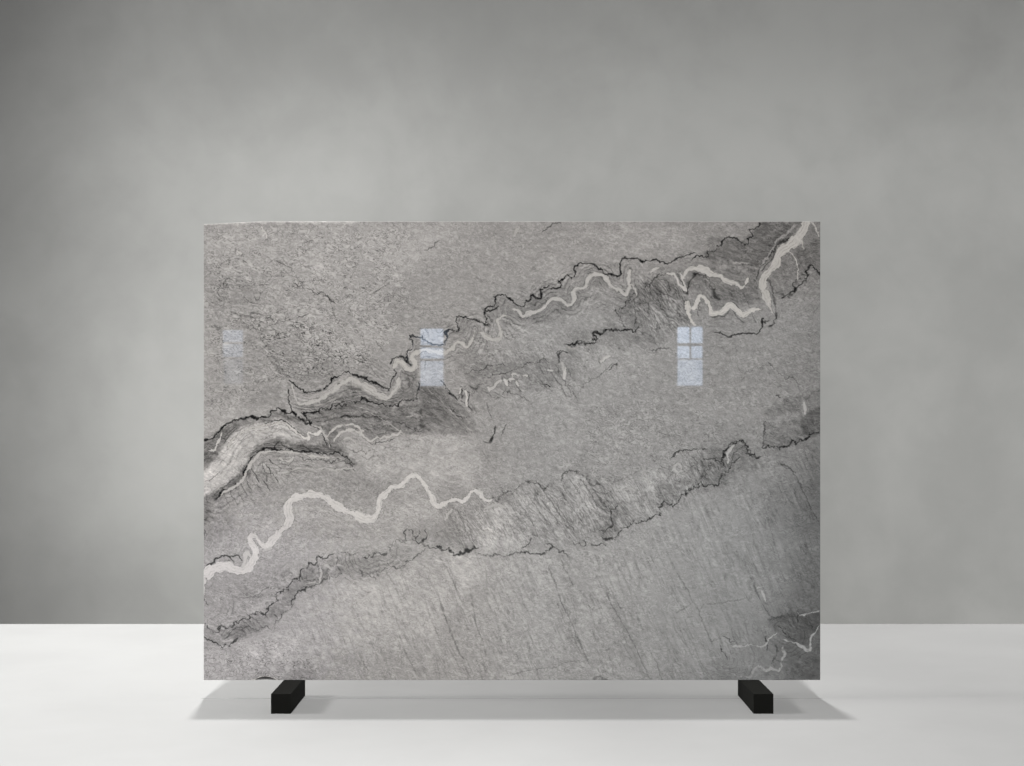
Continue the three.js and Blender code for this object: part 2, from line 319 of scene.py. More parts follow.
    (1.8, 0.4, 0.5, [(234, 313), (240, 314), (245, 317), (250, 316), (254, 318)]),
    (1.8, 0.4, 0.6, [(256, 318), (262, 316), (268, 319)]),
    (1.8, 0.4, 0.6, [(290, 325), (295, 326), (298, 328)]),
    # curls left of the right-hand vein
    (1.8, 0.45, 0.4, [(655, 282), (662, 279), (668, 283), (670, 291), (664, 296), (657, 293)]),
    (1.8, 0.4, 0.4, [(640, 300), (648, 306), (655, 318), (660, 330)]),
    (1.8, 0.4, 0.4, [(668, 300), (675, 308), (681, 318)]),
    (1.8, 0.4, 0.4, [(645, 289), (650, 300), (648, 312)]),
    (2.0, 0.5, 0.4, [(634, 300), (634, 308), (637, 318), (634, 327)]),
    (1.8, 0.4, 0.5, [(656, 352), (662, 347), (670, 348), (676, 353)]),
    (1.8, 0.4, 0.4, [(658, 300), (663, 309), (669, 320), (672, 332)]),
    (1.8, 0.35, 0.4, [(676, 290), (682, 298), (684, 308)]),
    # slanting strokes below the middle suture
    (2.0, 0.4, 0.4, [(556, 365), (562, 374), (569, 386), (576, 397)]),
    (2.0, 0.4, 0.4, [(548, 366), (553, 375), (560, 385), (566, 396)]),
    (1.8, 0.35, 0.4, [(540, 368), (545, 376), (552, 386)]),
    (2.2, 0.45, 0.5, [(540, 383), (546, 386), (551, 390)]),
    (1.8, 0.4, 0.5, [(586, 383), (594, 378), (603, 374), (609, 367), (613, 363)]),
    (1.8, 0.35, 0.5, [(604, 361), (610, 357)]),
    (2.2, 0.5, 0.6, [(470, 386), (475, 389), (479, 386), (474, 393)]),
    (1.8, 0.35, 0.5, [(486, 352), (494, 349), (503, 350)]),
    # round the dark wedge
    (1.8, 0.6, 0.5, [(341, 417), (350, 416), (357, 417)]),
    (1.8, 0.6, 0.5, [(366, 440), (371, 445), (376, 443), (382, 441.5), (390, 441), (395, 438)]),
    (1.8, 0.45, 0.5, [(350, 450), (356, 453), (362, 450), (366, 454), (372, 449), (378, 452)]),
    (1.8, 0.4, 0.5, [(362, 456), (368, 459), (374, 455), (380, 458)]),
    (1.7, 0.35, 0.5, [(384, 449), (392, 446), (402, 449), (410, 446)]),
    (1.7, 0.35, 0.5, [(344, 442), (350, 440), (357, 437), (363, 441)]),
    (1.8, 0.7, 0.4, [(461, 389), (464, 390), (468, 393), (469.6, 397), (468, 401), (469, 405), (471, 409)]),
    (1.8, 0.45, 0.5, [(452, 405), (456, 408), (452, 412), (458, 416), (464, 418), (469, 417)]),
    (2.0, 0.55, 0.5, [(491, 441), (487, 443), (483, 441)]),
    (1.7, 0.4, 0.4, [(404, 440), (412, 441), (420, 440)]),
    # the upper edge of the middle band and the strokes that hang from it
    (1.8, 0.5, 0.6, [(482, 497), (488, 502), (493, 498), (497, 500), (503, 492), (509, 493), (513, 494),
     (518, 487), (524, 483), (530, 481), (536, 481), (541, 487), (545, 492), (549, 484)]),
    (1.8, 0.45, 0.5, [(561, 482), (563, 474), (569, 470), (577, 471), (584, 476), (590, 480)]),
    (2.0, 0.4, 0.3, [(528, 495), (540, 512), (552, 530)]),
    (2.0, 0.4, 0.3, [(535, 490), (548, 508), (560, 525)]),
    (2.2, 0.45, 0.3, [(543, 490), (556, 508), (568, 528)]),
    (2.0, 0.35, 0.3, [(518, 500), (528, 516), (536, 530)]),
    (2.0, 0.4, 0.3, [(550, 495), (562, 512), (574, 530)]),
    (2.0, 0.4, 0.3, [(560, 490), (572, 508), (585, 525)]),
    (2.0, 0.4, 0.3, [(570, 480), (580, 495), (590, 512)]),
    (2.2, 0.45, 0.3, [(580, 478), (590, 492), (597, 506)]),
    (2.0, 0.35, 0.3, [(566, 520), (574, 534), (580, 543)]),
    (2.0, 0.35, 0.3, [(450, 515), (455, 530), (463, 545)]),
    (2.0, 0.35, 0.3, [(457, 508), (462, 520), (470, 540)]),
    (2.0, 0.35, 0.3, [(465, 512), (468, 525), (474, 542)]),
    (1.8, 0.3, 0.3, [(494, 528), (499, 538), (503, 550)]),
    (1.8, 0.3, 0.3, [(508, 520), (515, 534), (521, 548)]),
    # small separate strokes
    (1.9, 0.5, 0.4, [(424, 250), (433, 247), (438, 241)]),
    (1.9, 0.5, 0.4, [(375, 292), (381, 288)]),
    (1.8, 0.4, 0.4, [(375, 340), (379, 346), (383, 351)]),
    (1.6, 0.3, 0.4, [(223, 283), (229, 278), (236, 284)]),
    (1.8, 0.4, 0.5, [(366, 592), (370, 592)]),
    (2.2, 0.4, 0.6, [(589, 606), (592, 609)]),
    (2.6, 0.35, 0.8, [(606, 650), (614, 650)]),
    # inside the layered fold at the left edge
    (1.8, 0.6, 0.2, [(204, 481.6), (209, 480.6), (214, 477), (219, 472.6)]),
    (1.8, 0.4, 0.3, [(226, 451), (231, 445), (236, 441), (242, 440), (246, 436), (251, 431.6), (256, 429.6),
     (263, 430.6)]),
    (1.8, 0.45, 0.2, [(254, 428), (260, 427), (268, 426), (274, 426.4), (280, 424.6), (286, 425.6),
     (291, 430), (297, 434)]),
    (2.0, 0.7, 0.2, [(266, 423.4), (273, 421), (280, 419.6), (284, 420.6), (288, 423), (292, 427),
     (297, 431), (302, 434.6), (306, 437)]),
    (1.8, 0.35, 0.3, [(266, 438), (274, 433), (280, 429.6), (284, 428.4), (287, 432), (291, 436),
     (295, 440), (302, 441)]),
    (1.8, 0.35, 0.4, [(227, 468), (229, 464), (232, 460)]),
    (1.8, 0.4, 0.3, [(222, 445), (229, 436), (238, 429.6), (250, 424.6), (262, 422), (272, 420.6)]),
    (2.2, 0.65, 0.4, [(274, 447.4), (279, 442), (283, 445), (289, 448.6)]),
    (2.0, 0.55, 0.3, [(322, 426), (325, 434), (328, 441), (331, 447)]),
    (1.8, 0.4, 0.3, [(300, 415), (305, 421), (311, 424)]),
    # strokes that hang under it
    (2.2, 0.6, 0.3, [(251, 468), (254, 472.4), (256.6, 477), (259, 481.6)]),
    (2.2, 0.6, 0.3, [(262.6, 463), (264, 469), (266.4, 476), (267, 481)]),
    (2.2, 0.65, 0.3, [(266, 464.4), (270, 471), (274, 476), (278, 481)]),
    (2.2, 0.6, 0.3, [(269.4, 459.4), (273, 463.6)]),
    (2.0, 0.5, 0.3, [(264, 481), (266.6, 485), (269, 489)]),
    (2.0, 0.5, 0.5, [(253, 485), (256, 484.4), (259, 487)]),
    (1.8, 0.4, 0.3, [(248, 485), (252, 490.4)]),
    (1.8, 0.4, 0.3, [(275, 464), (279, 467), (282, 469)]),
    (1.8, 0.45, 0.5, [(267, 473.4), (271, 474)]),
    (1.8, 0.45, 0.4, [(279, 458), (282, 462.4), (286, 465), (291, 463.6), (294, 459)]),
    (2.0, 0.55, 0.5, [(300, 456), (302, 459), (308, 460), (318, 460.6), (322, 459), (331, 463), (337, 460),
     (345.6, 462), (351, 466), (354, 470)]),
    (1.8, 0.4, 0.5, [(294, 461), (300, 464), (308, 466), (318, 468), (330, 469), (350, 470)]),
    # short curved marks in the upper left
    (2.2, 0.6, 0.4, [(296, 284), (300, 286), (308, 288), (313, 291), (316.6, 294.6), (323, 292), (327, 296),
     (330, 300), (335, 303)]),
    (1.8, 0.4, 0.4, [(330, 300), (331, 305), (334, 312)]),
    (2.2, 0.5, 0.4, [(277, 261), (281, 263), (285, 265), (290, 269), (295, 273)]),
    (1.8, 0.45, 0.3, [(215, 291), (219.6, 287), (223, 287), (223.4, 283), (225.4, 279.6), (229.6, 278),
     (234, 281)]),
    (1.8, 0.5, 0.4, [(244, 296), (248, 301), (255, 303.4), (260, 304.6)]),
    (1.8, 0.5, 0.3, [(254, 296), (256, 299.6), (259, 299), (260.4, 294), (263, 291.4)]),
    (2.4, 0.5, 0.4, [(261.6, 284.6), (268, 284.6)]),
    (1.8, 0.4, 0.5, [(264.6, 275), (270, 276.6), (279, 276)]),
    (1.8, 0.4, 0.3, [(283.6, 282.6), (286, 280), (289, 282)]),
    (2.4, 0.6, 0.5, [(267, 317.6), (272, 319)]),
    (2.2, 0.6, 0.4, [(298.4, 317), (305.4, 315)]),
    (2.2, 0.6, 0.4, [(291.6, 324.6), (297, 327.6), (300.4, 325.8)]),
    (1.8, 0.45, 0.3, [(347.6, 297), (349.6, 293.6), (351.6, 295)]),
    (1.8, 0.4, 0.4, [(351, 277), (354, 273), (361, 270)]),
    (1.8, 0.4, 0.4, [(304, 266), (311, 266)]),
    (2.2, 0.45, 0.3, [(302, 252), (303.4, 254), (305, 252.6)]),
    (2.4, 0.5, 0.4, [(243, 260), (246, 262)]),
    (1.8, 0.5, 0.4, [(250, 315.6), (251, 313), (255, 312.4)]),
    (1.8, 0.4, 0.4, [(277, 312), (281, 309.6), (288, 309)]),
    (3.6, 0.45, 0.6, [(594, 678), (600, 677), (606, 679.4)]),
]

# Long faint joints that run straight through the stone: (width, strength, points).
STRAIGHT_LINES = [
    (1.5, 0.2, [(262, 226), (272, 245), (285, 262), (298, 280), (311, 292)]),
    (1.6, 0.3, [(331, 308), (338, 322), (347, 336), (359, 352), (370, 367), (381, 380)]),
    (1.6, 0.28, [(253, 326), (262, 340), (271, 353), (281, 367), (291, 382)]),
    (1.8, 0.26, [(262, 336), (276, 346), (290, 352), (302, 350)]),
    (2.0, 0.4, [(232, 312), (240, 316), (248, 315), (252, 319)]),
    (2.0, 0.42, [(252, 314), (258, 312), (264, 316), (270, 315)]),
    (1.8, 0.38, [(262, 322), (272, 326), (278, 334), (284, 333)]),
    (2.0, 0.36, [(287, 330), (294, 334), (300, 338), (304, 345)]),
    (1.8, 0.3, [(214, 288), (222, 283), (231, 281), (240, 285)]),
    (1.6, 0.28, [(278, 262), (284, 270), (291, 276), (299, 277)]),
    (1.8, 0.42, [(372, 294), (378, 290), (384, 287), (388, 284)]),
    (2.4, 0.3, [(440, 557), (449, 573), (455, 586), (460, 597)]),
    (2.4, 0.5, [(441, 605), (446, 620), (451, 634), (458, 650), (464, 659)]),
    (1.9, 0.3, [(424, 598), (428, 611), (432, 621), (436, 632)]),
    (2.2, 0.3, [(411, 632), (413, 640), (415, 648)]),
    (2.2, 0.32, [(403, 648), (410, 662), (416, 673)]),
    (1.8, 0.25, [(388, 575), (392, 581), (395, 585)]),
    (1.8, 0.22, [(476, 553), (479, 562), (482, 570)]),
    (2.2, 0.32, [(470, 588), (474, 612), (477, 628), (482, 640), (486, 654)]),
    (1.8, 0.28, [(461, 606), (468, 622)]),
    (1.8, 0.3, [(360, 657), (368, 670)]),
    (2.4, 0.2, [(395, 612), (401, 640)]),
    (2.6, 0.22, [(498, 580), (505, 590), (511, 602), (514, 618)]),
    (2.2, 0.42, [(550, 571), (555, 584), (560, 598), (566, 612), (571, 622), (576, 634), (582, 648),
     (589, 664)]),
    (2.0, 0.32, [(557, 602), (563, 618), (569, 630), (575, 640), (582, 655)]),
    (2.0, 0.5, [(561, 560), (565, 568), (569, 576), (573, 585)]),
    (2.2, 0.42, [(604, 589), (611, 603), (617, 614), (622, 622), (628, 632), (636, 648), (641, 660),
     (647, 672), (650, 679.6)]),
    (1.8, 0.3, [(611, 590), (620, 608), (626, 620)]),
    (2.0, 0.4, [(655, 660), (659, 670), (662, 679.6)]),
    (1.7, 0.22, [(630, 582), (634, 592), (637, 598)]),
    (2.2, 0.28, [(671, 563), (680, 578), (688, 590), (691, 599), (697, 606)]),
    (2.2, 0.38, [(697, 606), (701, 618), (706, 629), (711, 641)]),
    (3.0, 0.28, [(744, 560), (750, 575), (756, 590)]),
    (2.8, 0.45, [(754, 586), (762, 603), (769, 615)]),
    (2.4, 0.28, [(768, 520), (775, 545), (780, 560)]),
    (1.8, 0.22, [(667, 552), (676, 570)]),
    (1.8, 0.25, [(673, 651), (678, 660)]),
    (1.7, 0.22, [(322, 560), (316, 570)]),
    (1.8, 0.22, [(520, 590), (526, 612)]),
    (1.8, 0.22, [(531, 560), (536, 575)]),
    (1.8, 0.24, [(550, 617), (556, 632)]),
    (1.8, 0.22, [(527, 622), (533, 645)]),
    (1.9, 0.32, [(514, 674), (522, 672), (532, 670), (545, 668), (557, 667)]),
    (1.8, 0.26, [(557, 667), (566, 661), (585, 661)]),
    (1.8, 0.22, [(669, 618), (680, 618), (692, 617)]),
    (2.0, 0.3, [(676, 613), (690, 605)]),
    (1.9, 0.3, [(704, 604), (712, 604), (720, 603), (730, 601), (740, 600), (746, 598)]),
    (1.8, 0.26, [(700, 611), (704, 604)]),
    (1.8, 0.2, [(424, 390), (447, 413), (467, 430), (478, 446), (497, 472)]),
    (1.6, 0.3, [(441, 384), (450, 394), (459, 404), (468, 413)]),
    (1.6, 0.2, [(433, 388), (440, 396), (452, 410)]),
    (1.6, 0.25, [(487, 404), (490, 412), (494, 423)]),
    (1.6, 0.2, [(468, 398), (474, 408), (479, 418), (486, 428)]),
    (1.6, 0.2, [(290, 620), (300, 645), (308, 664)]),
    (1.7, 0.2, [(316, 612), (322, 632), (330, 652), (342, 676)]),
    (1.6, 0.2, [(352, 636), (353, 644)]),
    (1.6, 0.2, [(230, 650), (236, 664), (244, 678)]),
    (1.6, 0.2, [(262, 640), (268, 652)]),
]

# A white vein is (strength, cream, points), and each point is (x, y, width).
WHITE_VEINS = [
    # along the folded band
    (0.55, 0.3, [(292, 385, 3), (294, 391.5, 3), (294.5, 397.6, 3), (298, 404.5, 3), (305, 403.5, 4),
     (314, 401, 5), (324, 398, 5), (330, 393, 5), (338, 387, 5), (346, 381, 5), (352, 377.5, 5),
     (358, 382, 5), (366, 387, 6), (375, 392, 6), (382, 396, 6), (388, 398, 6), (393, 394, 6),
     (397, 387, 6), (399, 379, 4)]),
    (0.3, 0.2, [(308, 396, 4), (318, 395, 5), (327, 389.5, 5), (334, 383.5, 5), (342, 378.5, 4),
     (348, 375, 3)]),
    (0.3, 0.5, [(352, 384, 4), (362, 388, 5), (372, 394, 5), (382, 399.5, 4)]),
    (0.25, 0.4, [(312, 407, 2.5), (326, 403, 3), (338, 397, 3), (348, 389, 3), (356, 391, 3),
     (368, 398, 3)]),
    (0.62, 0.5, [(394, 367, 4), (397, 361.6, 5), (401, 361.6, 5), (404, 366, 5), (409, 370, 5),
     (414.5, 369, 5), (416.5, 363.6, 5), (413, 360.6, 4.5), (411, 355, 4.5), (417.5, 352, 5), (422, 350, 5),
     (430, 350, 5), (444, 354, 5), (448, 351, 5), (453, 347, 5), (457, 342, 5), (460.6, 342, 4.5),
     (465, 347, 4.5), (469, 347, 4.5), (471, 341, 4), (474, 335, 3.5), (475, 329, 2.5)]),
    (0.55, 0.4, [(478, 332, 2.5), (483, 334, 4), (488, 338, 4.5), (493, 340, 4.5), (500.6, 340, 4),
     (502, 334, 3.5), (499.6, 327, 3.5), (497, 321.6, 3.5), (499.6, 317.5, 3.5), (505, 315, 3),
     (510, 316.5, 2.5)]),
    (0.62, 0.3, [(512, 309, 2.5), (518, 309, 4), (521, 315, 4.5), (523, 317.5, 5), (529, 314, 5),
     (537, 312, 5), (543, 308, 4.5), (547, 304, 4.5), (550, 300, 4), (555, 297, 4), (561, 300, 4),
     (565, 302, 4), (568, 306, 4), (573.5, 303, 4), (575, 298, 4), (573, 292, 4), (574.6, 288, 4),
     (579, 288, 4.5), (583, 289, 4.5), (587, 286, 4.5), (587, 279.5, 4.5), (591, 275, 4.5), (597, 274, 5),
     (603, 275, 5), (606, 278.5, 4.5), (609, 283.6, 4.5), (612.5, 288, 4.5), (618, 289, 4.5), (622, 290, 4),
     (624, 294, 3.5), (628, 292, 3.5), (630, 287, 4), (629, 281.6, 4), (629, 275, 3.5), (630, 270, 2.5)]),
    (0.5, 0.3, [(630, 285, 3), (632.5, 285, 3), (635, 290, 3), (637, 296, 2)]),
    (0.6, 0.3, [(650.5, 273, 3), (653.5, 269, 3), (659, 268, 2)]),
    (0.8, 0.3, [(667, 273, 2), (670, 273.6, 3), (673.6, 274, 3.2), (675.6, 277.6, 3.2), (677.6, 281.6, 3.2),
     (681, 286, 3), (685, 290, 2.4)]),
    (0.7, 0.3, [(680.4, 273, 2.4), (682.6, 276.6, 2.6), (684, 280, 2.6), (685, 287, 3.4), (686, 291, 2.6)]),
    (0.25, 0.3, [(685, 265, 3), (689, 263.6, 3), (695, 264.6, 3)]),
    (0.28, 0.0, [(761, 265, 2.6), (765, 259, 3.2), (770, 254, 3.4), (771.4, 249.6, 3.6), (775.6, 245, 3.2),
     (776.6, 240, 3.4), (784, 237, 3.4), (788, 232, 3.4), (795, 225, 3)]),
    (0.25, 0.1, [(720, 267, 5), (727, 267, 5)]),
    (0.3, 0.1, [(733, 263, 2.4), (749, 263, 2.4)]),
    (0.2, 0.0, [(735, 268, 5), (746, 270, 6)]),
    # right-hand whites
    (0.7, 0.4, [(684, 278, 3.4), (685, 273, 5), (688, 269.6, 5.4), (691, 268.4, 5.6), (698, 268.4, 5.6),
     (706, 269.4, 5.6), (709, 272.4, 5.4), (714, 275.4, 5.2), (720, 275.4, 4.8), (725, 279.5, 4.6),
     (731, 283, 4.4), (735, 283, 4), (739, 286, 3.5), (742, 288.6, 3.4), (744.6, 285, 3), (746, 281, 3),
     (748, 278, 2.4)]),
    (0.6, 0.4, [(731, 285, 2.4), (735, 281.6, 2.8)]),
    (0.85, 0.6, [(687.6, 303, 4.6), (688, 308, 5.6), (688.6, 312, 5), (690.4, 318, 3.6), (693, 322, 3),
     (695, 325.6, 2.6)]),
    (0.85, 0.5, [(692.6, 308, 3), (695, 310, 3.6), (697, 303, 4.6), (699, 297, 4.2), (701.6, 295.4, 4),
     (704.6, 299, 4.2), (709, 304.6, 4.6), (711, 311, 5.6), (713, 315, 5.6), (717, 313, 5.8),
     (723, 312.4, 5.8), (725.6, 308, 5.4), (728, 305, 5.6), (731.6, 304.4, 5.6), (735, 308, 5.4),
     (738.6, 312, 5), (743, 316.4, 4.6), (747, 314, 4.2), (750.4, 310, 4.6), (755, 308.6, 5.2),
     (761, 309.8, 3.4)]),
    (0.6, 0.5, [(806, 222, 8), (804, 229, 6.6), (799, 236, 8), (795, 242, 8.4), (788, 247, 8.4),
     (780, 251, 8.4), (778, 258, 9), (776, 264, 8.6), (770, 270, 8.4), (764, 277, 7.4), (762.6, 284, 7.4),
     (764, 290, 7.6), (767, 297, 6.6), (769, 305, 6), (772.6, 313, 3)]),
    (0.35, 0.6, [(800, 238, 3), (802, 243, 3), (804, 249, 2)]),
    (0.5, 0.4, [(790, 252, 2.5), (796, 259, 2.5), (798, 269, 2.5), (798, 279.5, 2)]),
    (0.5, 0.4, [(813, 223, 2.5), (816, 229, 2.5), (819, 236.5, 2)]),
    # pale lines of the fold at the left edge
    (1.0, 0.3, [(286, 423.6, 1.8), (292, 429, 2.4), (297, 433, 2.6), (304, 438, 3), (308, 439.6, 3),
     (310.4, 437.6, 2.8), (307.6, 433.4, 2.6), (309, 431.6, 2.6), (313, 434.4, 3), (317, 434.4, 3),
     (320.4, 431, 2.6)]),
    (0.6, 0.5, [(228, 448, 3), (234, 438.6, 3), (242, 433, 2.6), (250, 428.4, 2.4), (262, 425.4, 2.4),
     (272, 424, 2.4), (280, 421.8, 2.4), (286, 423, 2.2)]),
    (0.5, 0.5, [(256, 432, 2.4), (262, 432.4, 2.8), (268, 428.6, 2.4), (276, 428, 2.2)]),
    (0.45, 0.2, [(312, 425, 2), (320, 427.4, 2.4), (324, 432, 2.4), (327, 439, 2.4), (330, 447, 2)]),
    (0.8, 0.1, [(222, 433, 2), (220, 439, 2.8), (218, 444, 3.2), (215, 449.4, 3), (209, 450.6, 2.4)]),
    (0.55, 0.3, [(218.4, 499, 2.4), (221, 494, 2.8), (228, 490.4, 3), (236, 486, 3.2), (243, 480, 3.6),
     (247, 471, 4), (251, 463, 4), (256, 456.4, 3.8), (262, 452.4, 3.4), (270, 451.4, 3), (280, 451.6, 3),
     (290, 452, 3), (302, 454, 2.6), (316, 456.4, 2.6), (330, 458, 2.4)]),
    (0.6, 0.3, [(280, 458, 2.4), (284, 461.4, 2.8), (288, 462, 2.8), (292, 460, 2.6), (293, 457, 2.2)]),
    (0.45, 0.2, [(278, 473, 2.4), (284, 472.6, 2.8), (290, 471, 3), (295, 468, 3), (313, 468.4, 3),
     (333, 470, 3), (354, 468, 2.4)]),
    # short curls under the middle suture
    (0.6, 0.2, [(488, 387, 2), (489, 390, 3), (493, 388, 3.2), (495, 384.6, 3.2), (498, 382.6, 3.4),
     (501, 380, 2.6)]),
    (0.9, 0.2, [(505, 379.6, 3.8), (506, 382.6, 3.8), (508, 386, 2.6)]),
    (0.8, 0.2, [(510, 379, 3.4), (514, 379, 3.4)]),
    (0.6, 0.2, [(512, 375, 2.8), (514, 373.4, 2.8), (517, 375, 3.2), (520, 374, 2.8)]),
    (0.7, 0.2, [(516.6, 382, 2.8), (518.6, 386, 2.8)]),
    (0.7, 0.3, [(522, 375.6, 3), (527, 375.6, 3)]),
    (0.8, 0.2, [(548, 370, 2.6), (550.4, 371.8, 3), (553, 370.4, 2.6)]),
    (0.8, 0.2, [(566, 368, 2.6), (564, 373, 3), (564.6, 378, 2.6)]),
    (0.45, 0.3, [(562, 362, 4), (563, 368, 5), (565, 372, 3)]),
    (0.8, 0.2, [(600.6, 361.8, 3), (603, 359.4, 3.4), (606, 357.8, 3.4), (609.6, 356, 3)]),
    (0.3, 0.6, [(568, 347, 3), (572, 348.4, 3.4), (578, 347.6, 3)]),
    (0.25, 0.2, [(551.6, 342, 1.8), (554, 347, 1.8)]),
    (0.9, 0.3, [(465.4, 391, 2.4), (467.4, 395.6, 2.8), (466.6, 399, 2.8), (465.6, 402.4, 2.8),
     (467, 406, 2.4)]),
    (0.7, 0.3, [(460.6, 388, 2.4), (459.2, 393.6, 2.8)]),
    (0.25, 0.5, [(476, 384, 1.8), (477, 380.4, 2), (481, 379, 2), (489.4, 379.6, 2), (495, 376.2, 2),
     (501, 375.6, 2)]),
    (0.2, 0.2, [(545, 406, 1.8), (548.4, 413.4, 1.8), (551.6, 418, 1.8)]),
    (0.25, 0.2, [(535, 356, 2.6), (536.4, 356.4, 2.6)]),
    # the strongest vein, from the left edge
    (1.0, 0.12, [(204.4, 574, 11), (212, 569, 11), (220, 566, 12), (227, 566, 11), (234.5, 570, 7.5),
     (240, 571, 7.5), (246, 570, 7.5), (251, 565, 7), (255, 558, 6.5), (256.5, 551, 6), (254, 546, 6),
     (250, 541, 5), (251, 536, 4.5), (256, 536, 4), (259, 541, 5), (263, 546, 7), (268, 545, 8.5),
     (273, 540, 9), (278, 534, 8), (283, 529.5, 8), (288, 525.7, 7.5), (290, 517.6, 7), (287, 507, 7),
     (292, 499, 7.5), (302, 496, 7), (316.5, 494, 7), (325, 497, 7.5), (333, 503, 7.5), (345, 511, 7.5),
     (356, 515, 7.5), (362, 518.6, 7.5), (369, 520.7, 7), (376.5, 516.6, 7), (378.6, 506, 6), (380, 499, 6),
     (387, 493, 5.5), (392, 487, 5.5), (400, 487, 5), (405, 481.7, 5), (411, 475.6, 5.5),
     (417.5, 475.6, 5.5), (422.7, 481.7, 5), (428, 490, 5), (432, 497, 5), (435, 505, 5), (438, 507.4, 5.5),
     (444, 504, 5), (450, 500, 5.5), (458.6, 499, 5), (464.7, 503, 5), (468, 497, 4.5), (471, 492, 4),
     (475, 490, 3.5), (479, 492, 4), (482, 498, 3.5), (487, 501, 3), (494, 500, 2)]),
    (0.75, 0.12, [(204.4, 571, 4), (204.6, 578, 4), (205, 588, 3), (205.5, 600, 1.6)]),
    (0.7, 0.15, [(243, 566, 4), (246, 560, 5), (245, 554, 5), (248, 552, 4.5), (251, 557, 4)]),
    (0.5, 0.15, [(262, 551, 3), (267, 550, 4), (272, 548, 3)]),
    (0.22, 0.15, [(236, 643, 3), (250, 639, 4), (262, 635, 4), (270, 632, 4), (278, 625, 4.5),
     (284, 617, 4.5), (292, 611, 4.5), (300, 600, 5), (310, 594, 6), (322, 590, 6), (334, 582, 5),
     (345, 576, 4)]),
    (0.35, 0.1, [(335, 570, 2), (333, 566, 3.4), (338, 564, 3), (343, 566, 2)]),
    (0.5, 0.2, [(452, 509, 3.5), (448, 514.5, 4), (445, 520, 3)]),
    # curls under the dark wedge
    (0.6, 0.3, [(334, 441.7, 3.4), (336, 436.6, 3.6), (341.5, 432.5, 3.6), (349, 429.4, 3.4),
     (357, 430.4, 3.4), (362, 434.5, 3.2), (367, 438.6, 3), (371, 441.7, 3), (374.5, 438.6, 3),
     (377.5, 437, 3), (380.6, 438.6, 3), (384, 436.6, 3), (388, 437.6, 2.5), (393, 434.5, 2.5),
     (398, 434.5, 2.5), (401, 430, 2)]),
    (0.6, 0.3, [(328, 436, 2), (332, 429, 2.6), (340, 425, 2.8), (350, 424.6, 2.8), (358, 427, 2.6),
     (364, 431, 2)]),
    (0.45, 0.3, [(339, 446, 2), (342, 440, 2.6), (348, 437, 2.8), (354, 439, 2.6), (357, 445, 2)]),
    (0.6, 0.2, [(489, 389, 2.5), (493, 387, 3.5), (498.6, 382, 2.5)]),
    (0.45, 0.2, [(501, 383, 2), (503, 378, 2.4), (506, 384, 2), (508, 378, 2.4), (511, 382, 2)]),
    (0.4, 0.2, [(512, 377, 2), (515, 381, 2.4), (519, 376, 2)]),
    (0.4, 0.2, [(600, 360, 2), (604, 357, 3), (609, 355, 2)]),
    (0.5, 0.1, [(728, 463, 2.5), (727, 456, 3.5), (730, 449, 3.5), (734, 445, 3)]),
    (0.5, 0.1, [(671, 472, 2), (675, 466, 3.5), (679, 463, 3), (682, 468, 2.4)]),
    (0.45, 0.1, [(676, 476, 2), (680, 470, 3), (684, 472, 2)]),
    (0.45, 0.1, [(804, 402, 3), (805, 408, 5), (805, 414, 4)]),
    (0.35, 0.15, [(641, 464, 3), (645, 472, 5), (648, 480, 5), (651, 486, 3)]),
    (0.3, 0.15, [(624, 490, 3), (630, 488, 5), (636, 490, 3)]),
    (0.35, 0.15, [(613, 470, 2), (616, 463, 3), (619, 456, 3), (622, 450, 2)]),
    (0.3, 0.15, [(655, 468, 2), (660, 474, 3), (664, 482, 3)]),
    (0.3, 0.15, [(590, 426, 2), (600, 428, 2.4), (608, 426, 2)]),
    (0.5, 0.2, [(359, 408, 2), (362, 407.5, 3), (365, 409, 2)]),
    (0.3, 0.2, [(428, 389, 2), (451, 411, 2), (471, 430, 2), (482, 446, 2), (500, 472, 1.6)]),
    (0.3, 0.2, [(470, 432, 2), (481, 450, 2.2), (490, 470, 2)]),
    (0.35, 0.2, [(372, 413, 2), (380, 418, 2), (390, 424, 2), (398, 430, 2.4), (404, 434, 2)]),
    (0.35, 0.2, [(406, 417, 2), (413, 415, 2), (421, 415, 1.6)]),
    (0.35, 0.2, [(345, 412, 2), (354, 412, 2), (364, 411, 2), (372, 413, 2)]),
    (0.45, 0.2, [(463, 389, 2), (465, 394, 2.2), (467, 400, 2.2), (466, 404, 2)]),
    (0.4, 0.3, [(400, 434, 2), (405, 437, 2.2), (412, 435, 2.2), (418, 437, 2.2), (424, 434, 2),
     (430, 436, 2.2), (436, 434, 2), (442, 437, 2)]),
    (0.3, 0.3, [(352, 447, 2), (358, 444, 2.2), (366, 447, 2.2), (374, 446, 2)]),
    (0.45, 0.15, [(484, 509, 3), (492, 506, 4), (500, 504, 4), (506, 508, 3)]),
    (0.4, 0.15, [(484, 531, 2), (489, 532, 3.4), (495, 534, 2)]),
    (0.4, 0.15, [(455, 531, 2), (459, 528, 3), (464, 532, 2.4)]),
    (0.35, 0.15, [(516, 496, 2), (520, 499, 3.4), (524, 497, 2.4)]),
    (0.4, 0.3, [(519.7, 226.7, 2.5), (516, 232, 3), (513.5, 237.5, 2.5)]),
    (0.3, 0.3, [(493.4, 236, 3), (495, 245, 3), (497.5, 253, 2.5)]),
    (0.8, 0.2, [(259, 224, 2.2), (261.6, 227, 2.6), (263.4, 231, 3.4), (266, 234, 2.8), (266.4, 238, 2.2)]),
    (0.4, 0.2, [(261, 231, 2.4), (260, 239, 2.4)]),
    (0.7, 0.3, [(237, 251, 3), (241.6, 253.6, 3)]),
    (0.6, 0.3, [(341, 262.4, 2.6), (346, 260, 2.6)]),
    (0.5, 0.1, [(227, 288, 2), (229.6, 296, 2.2), (231, 301, 2)]),
    # lower right corner
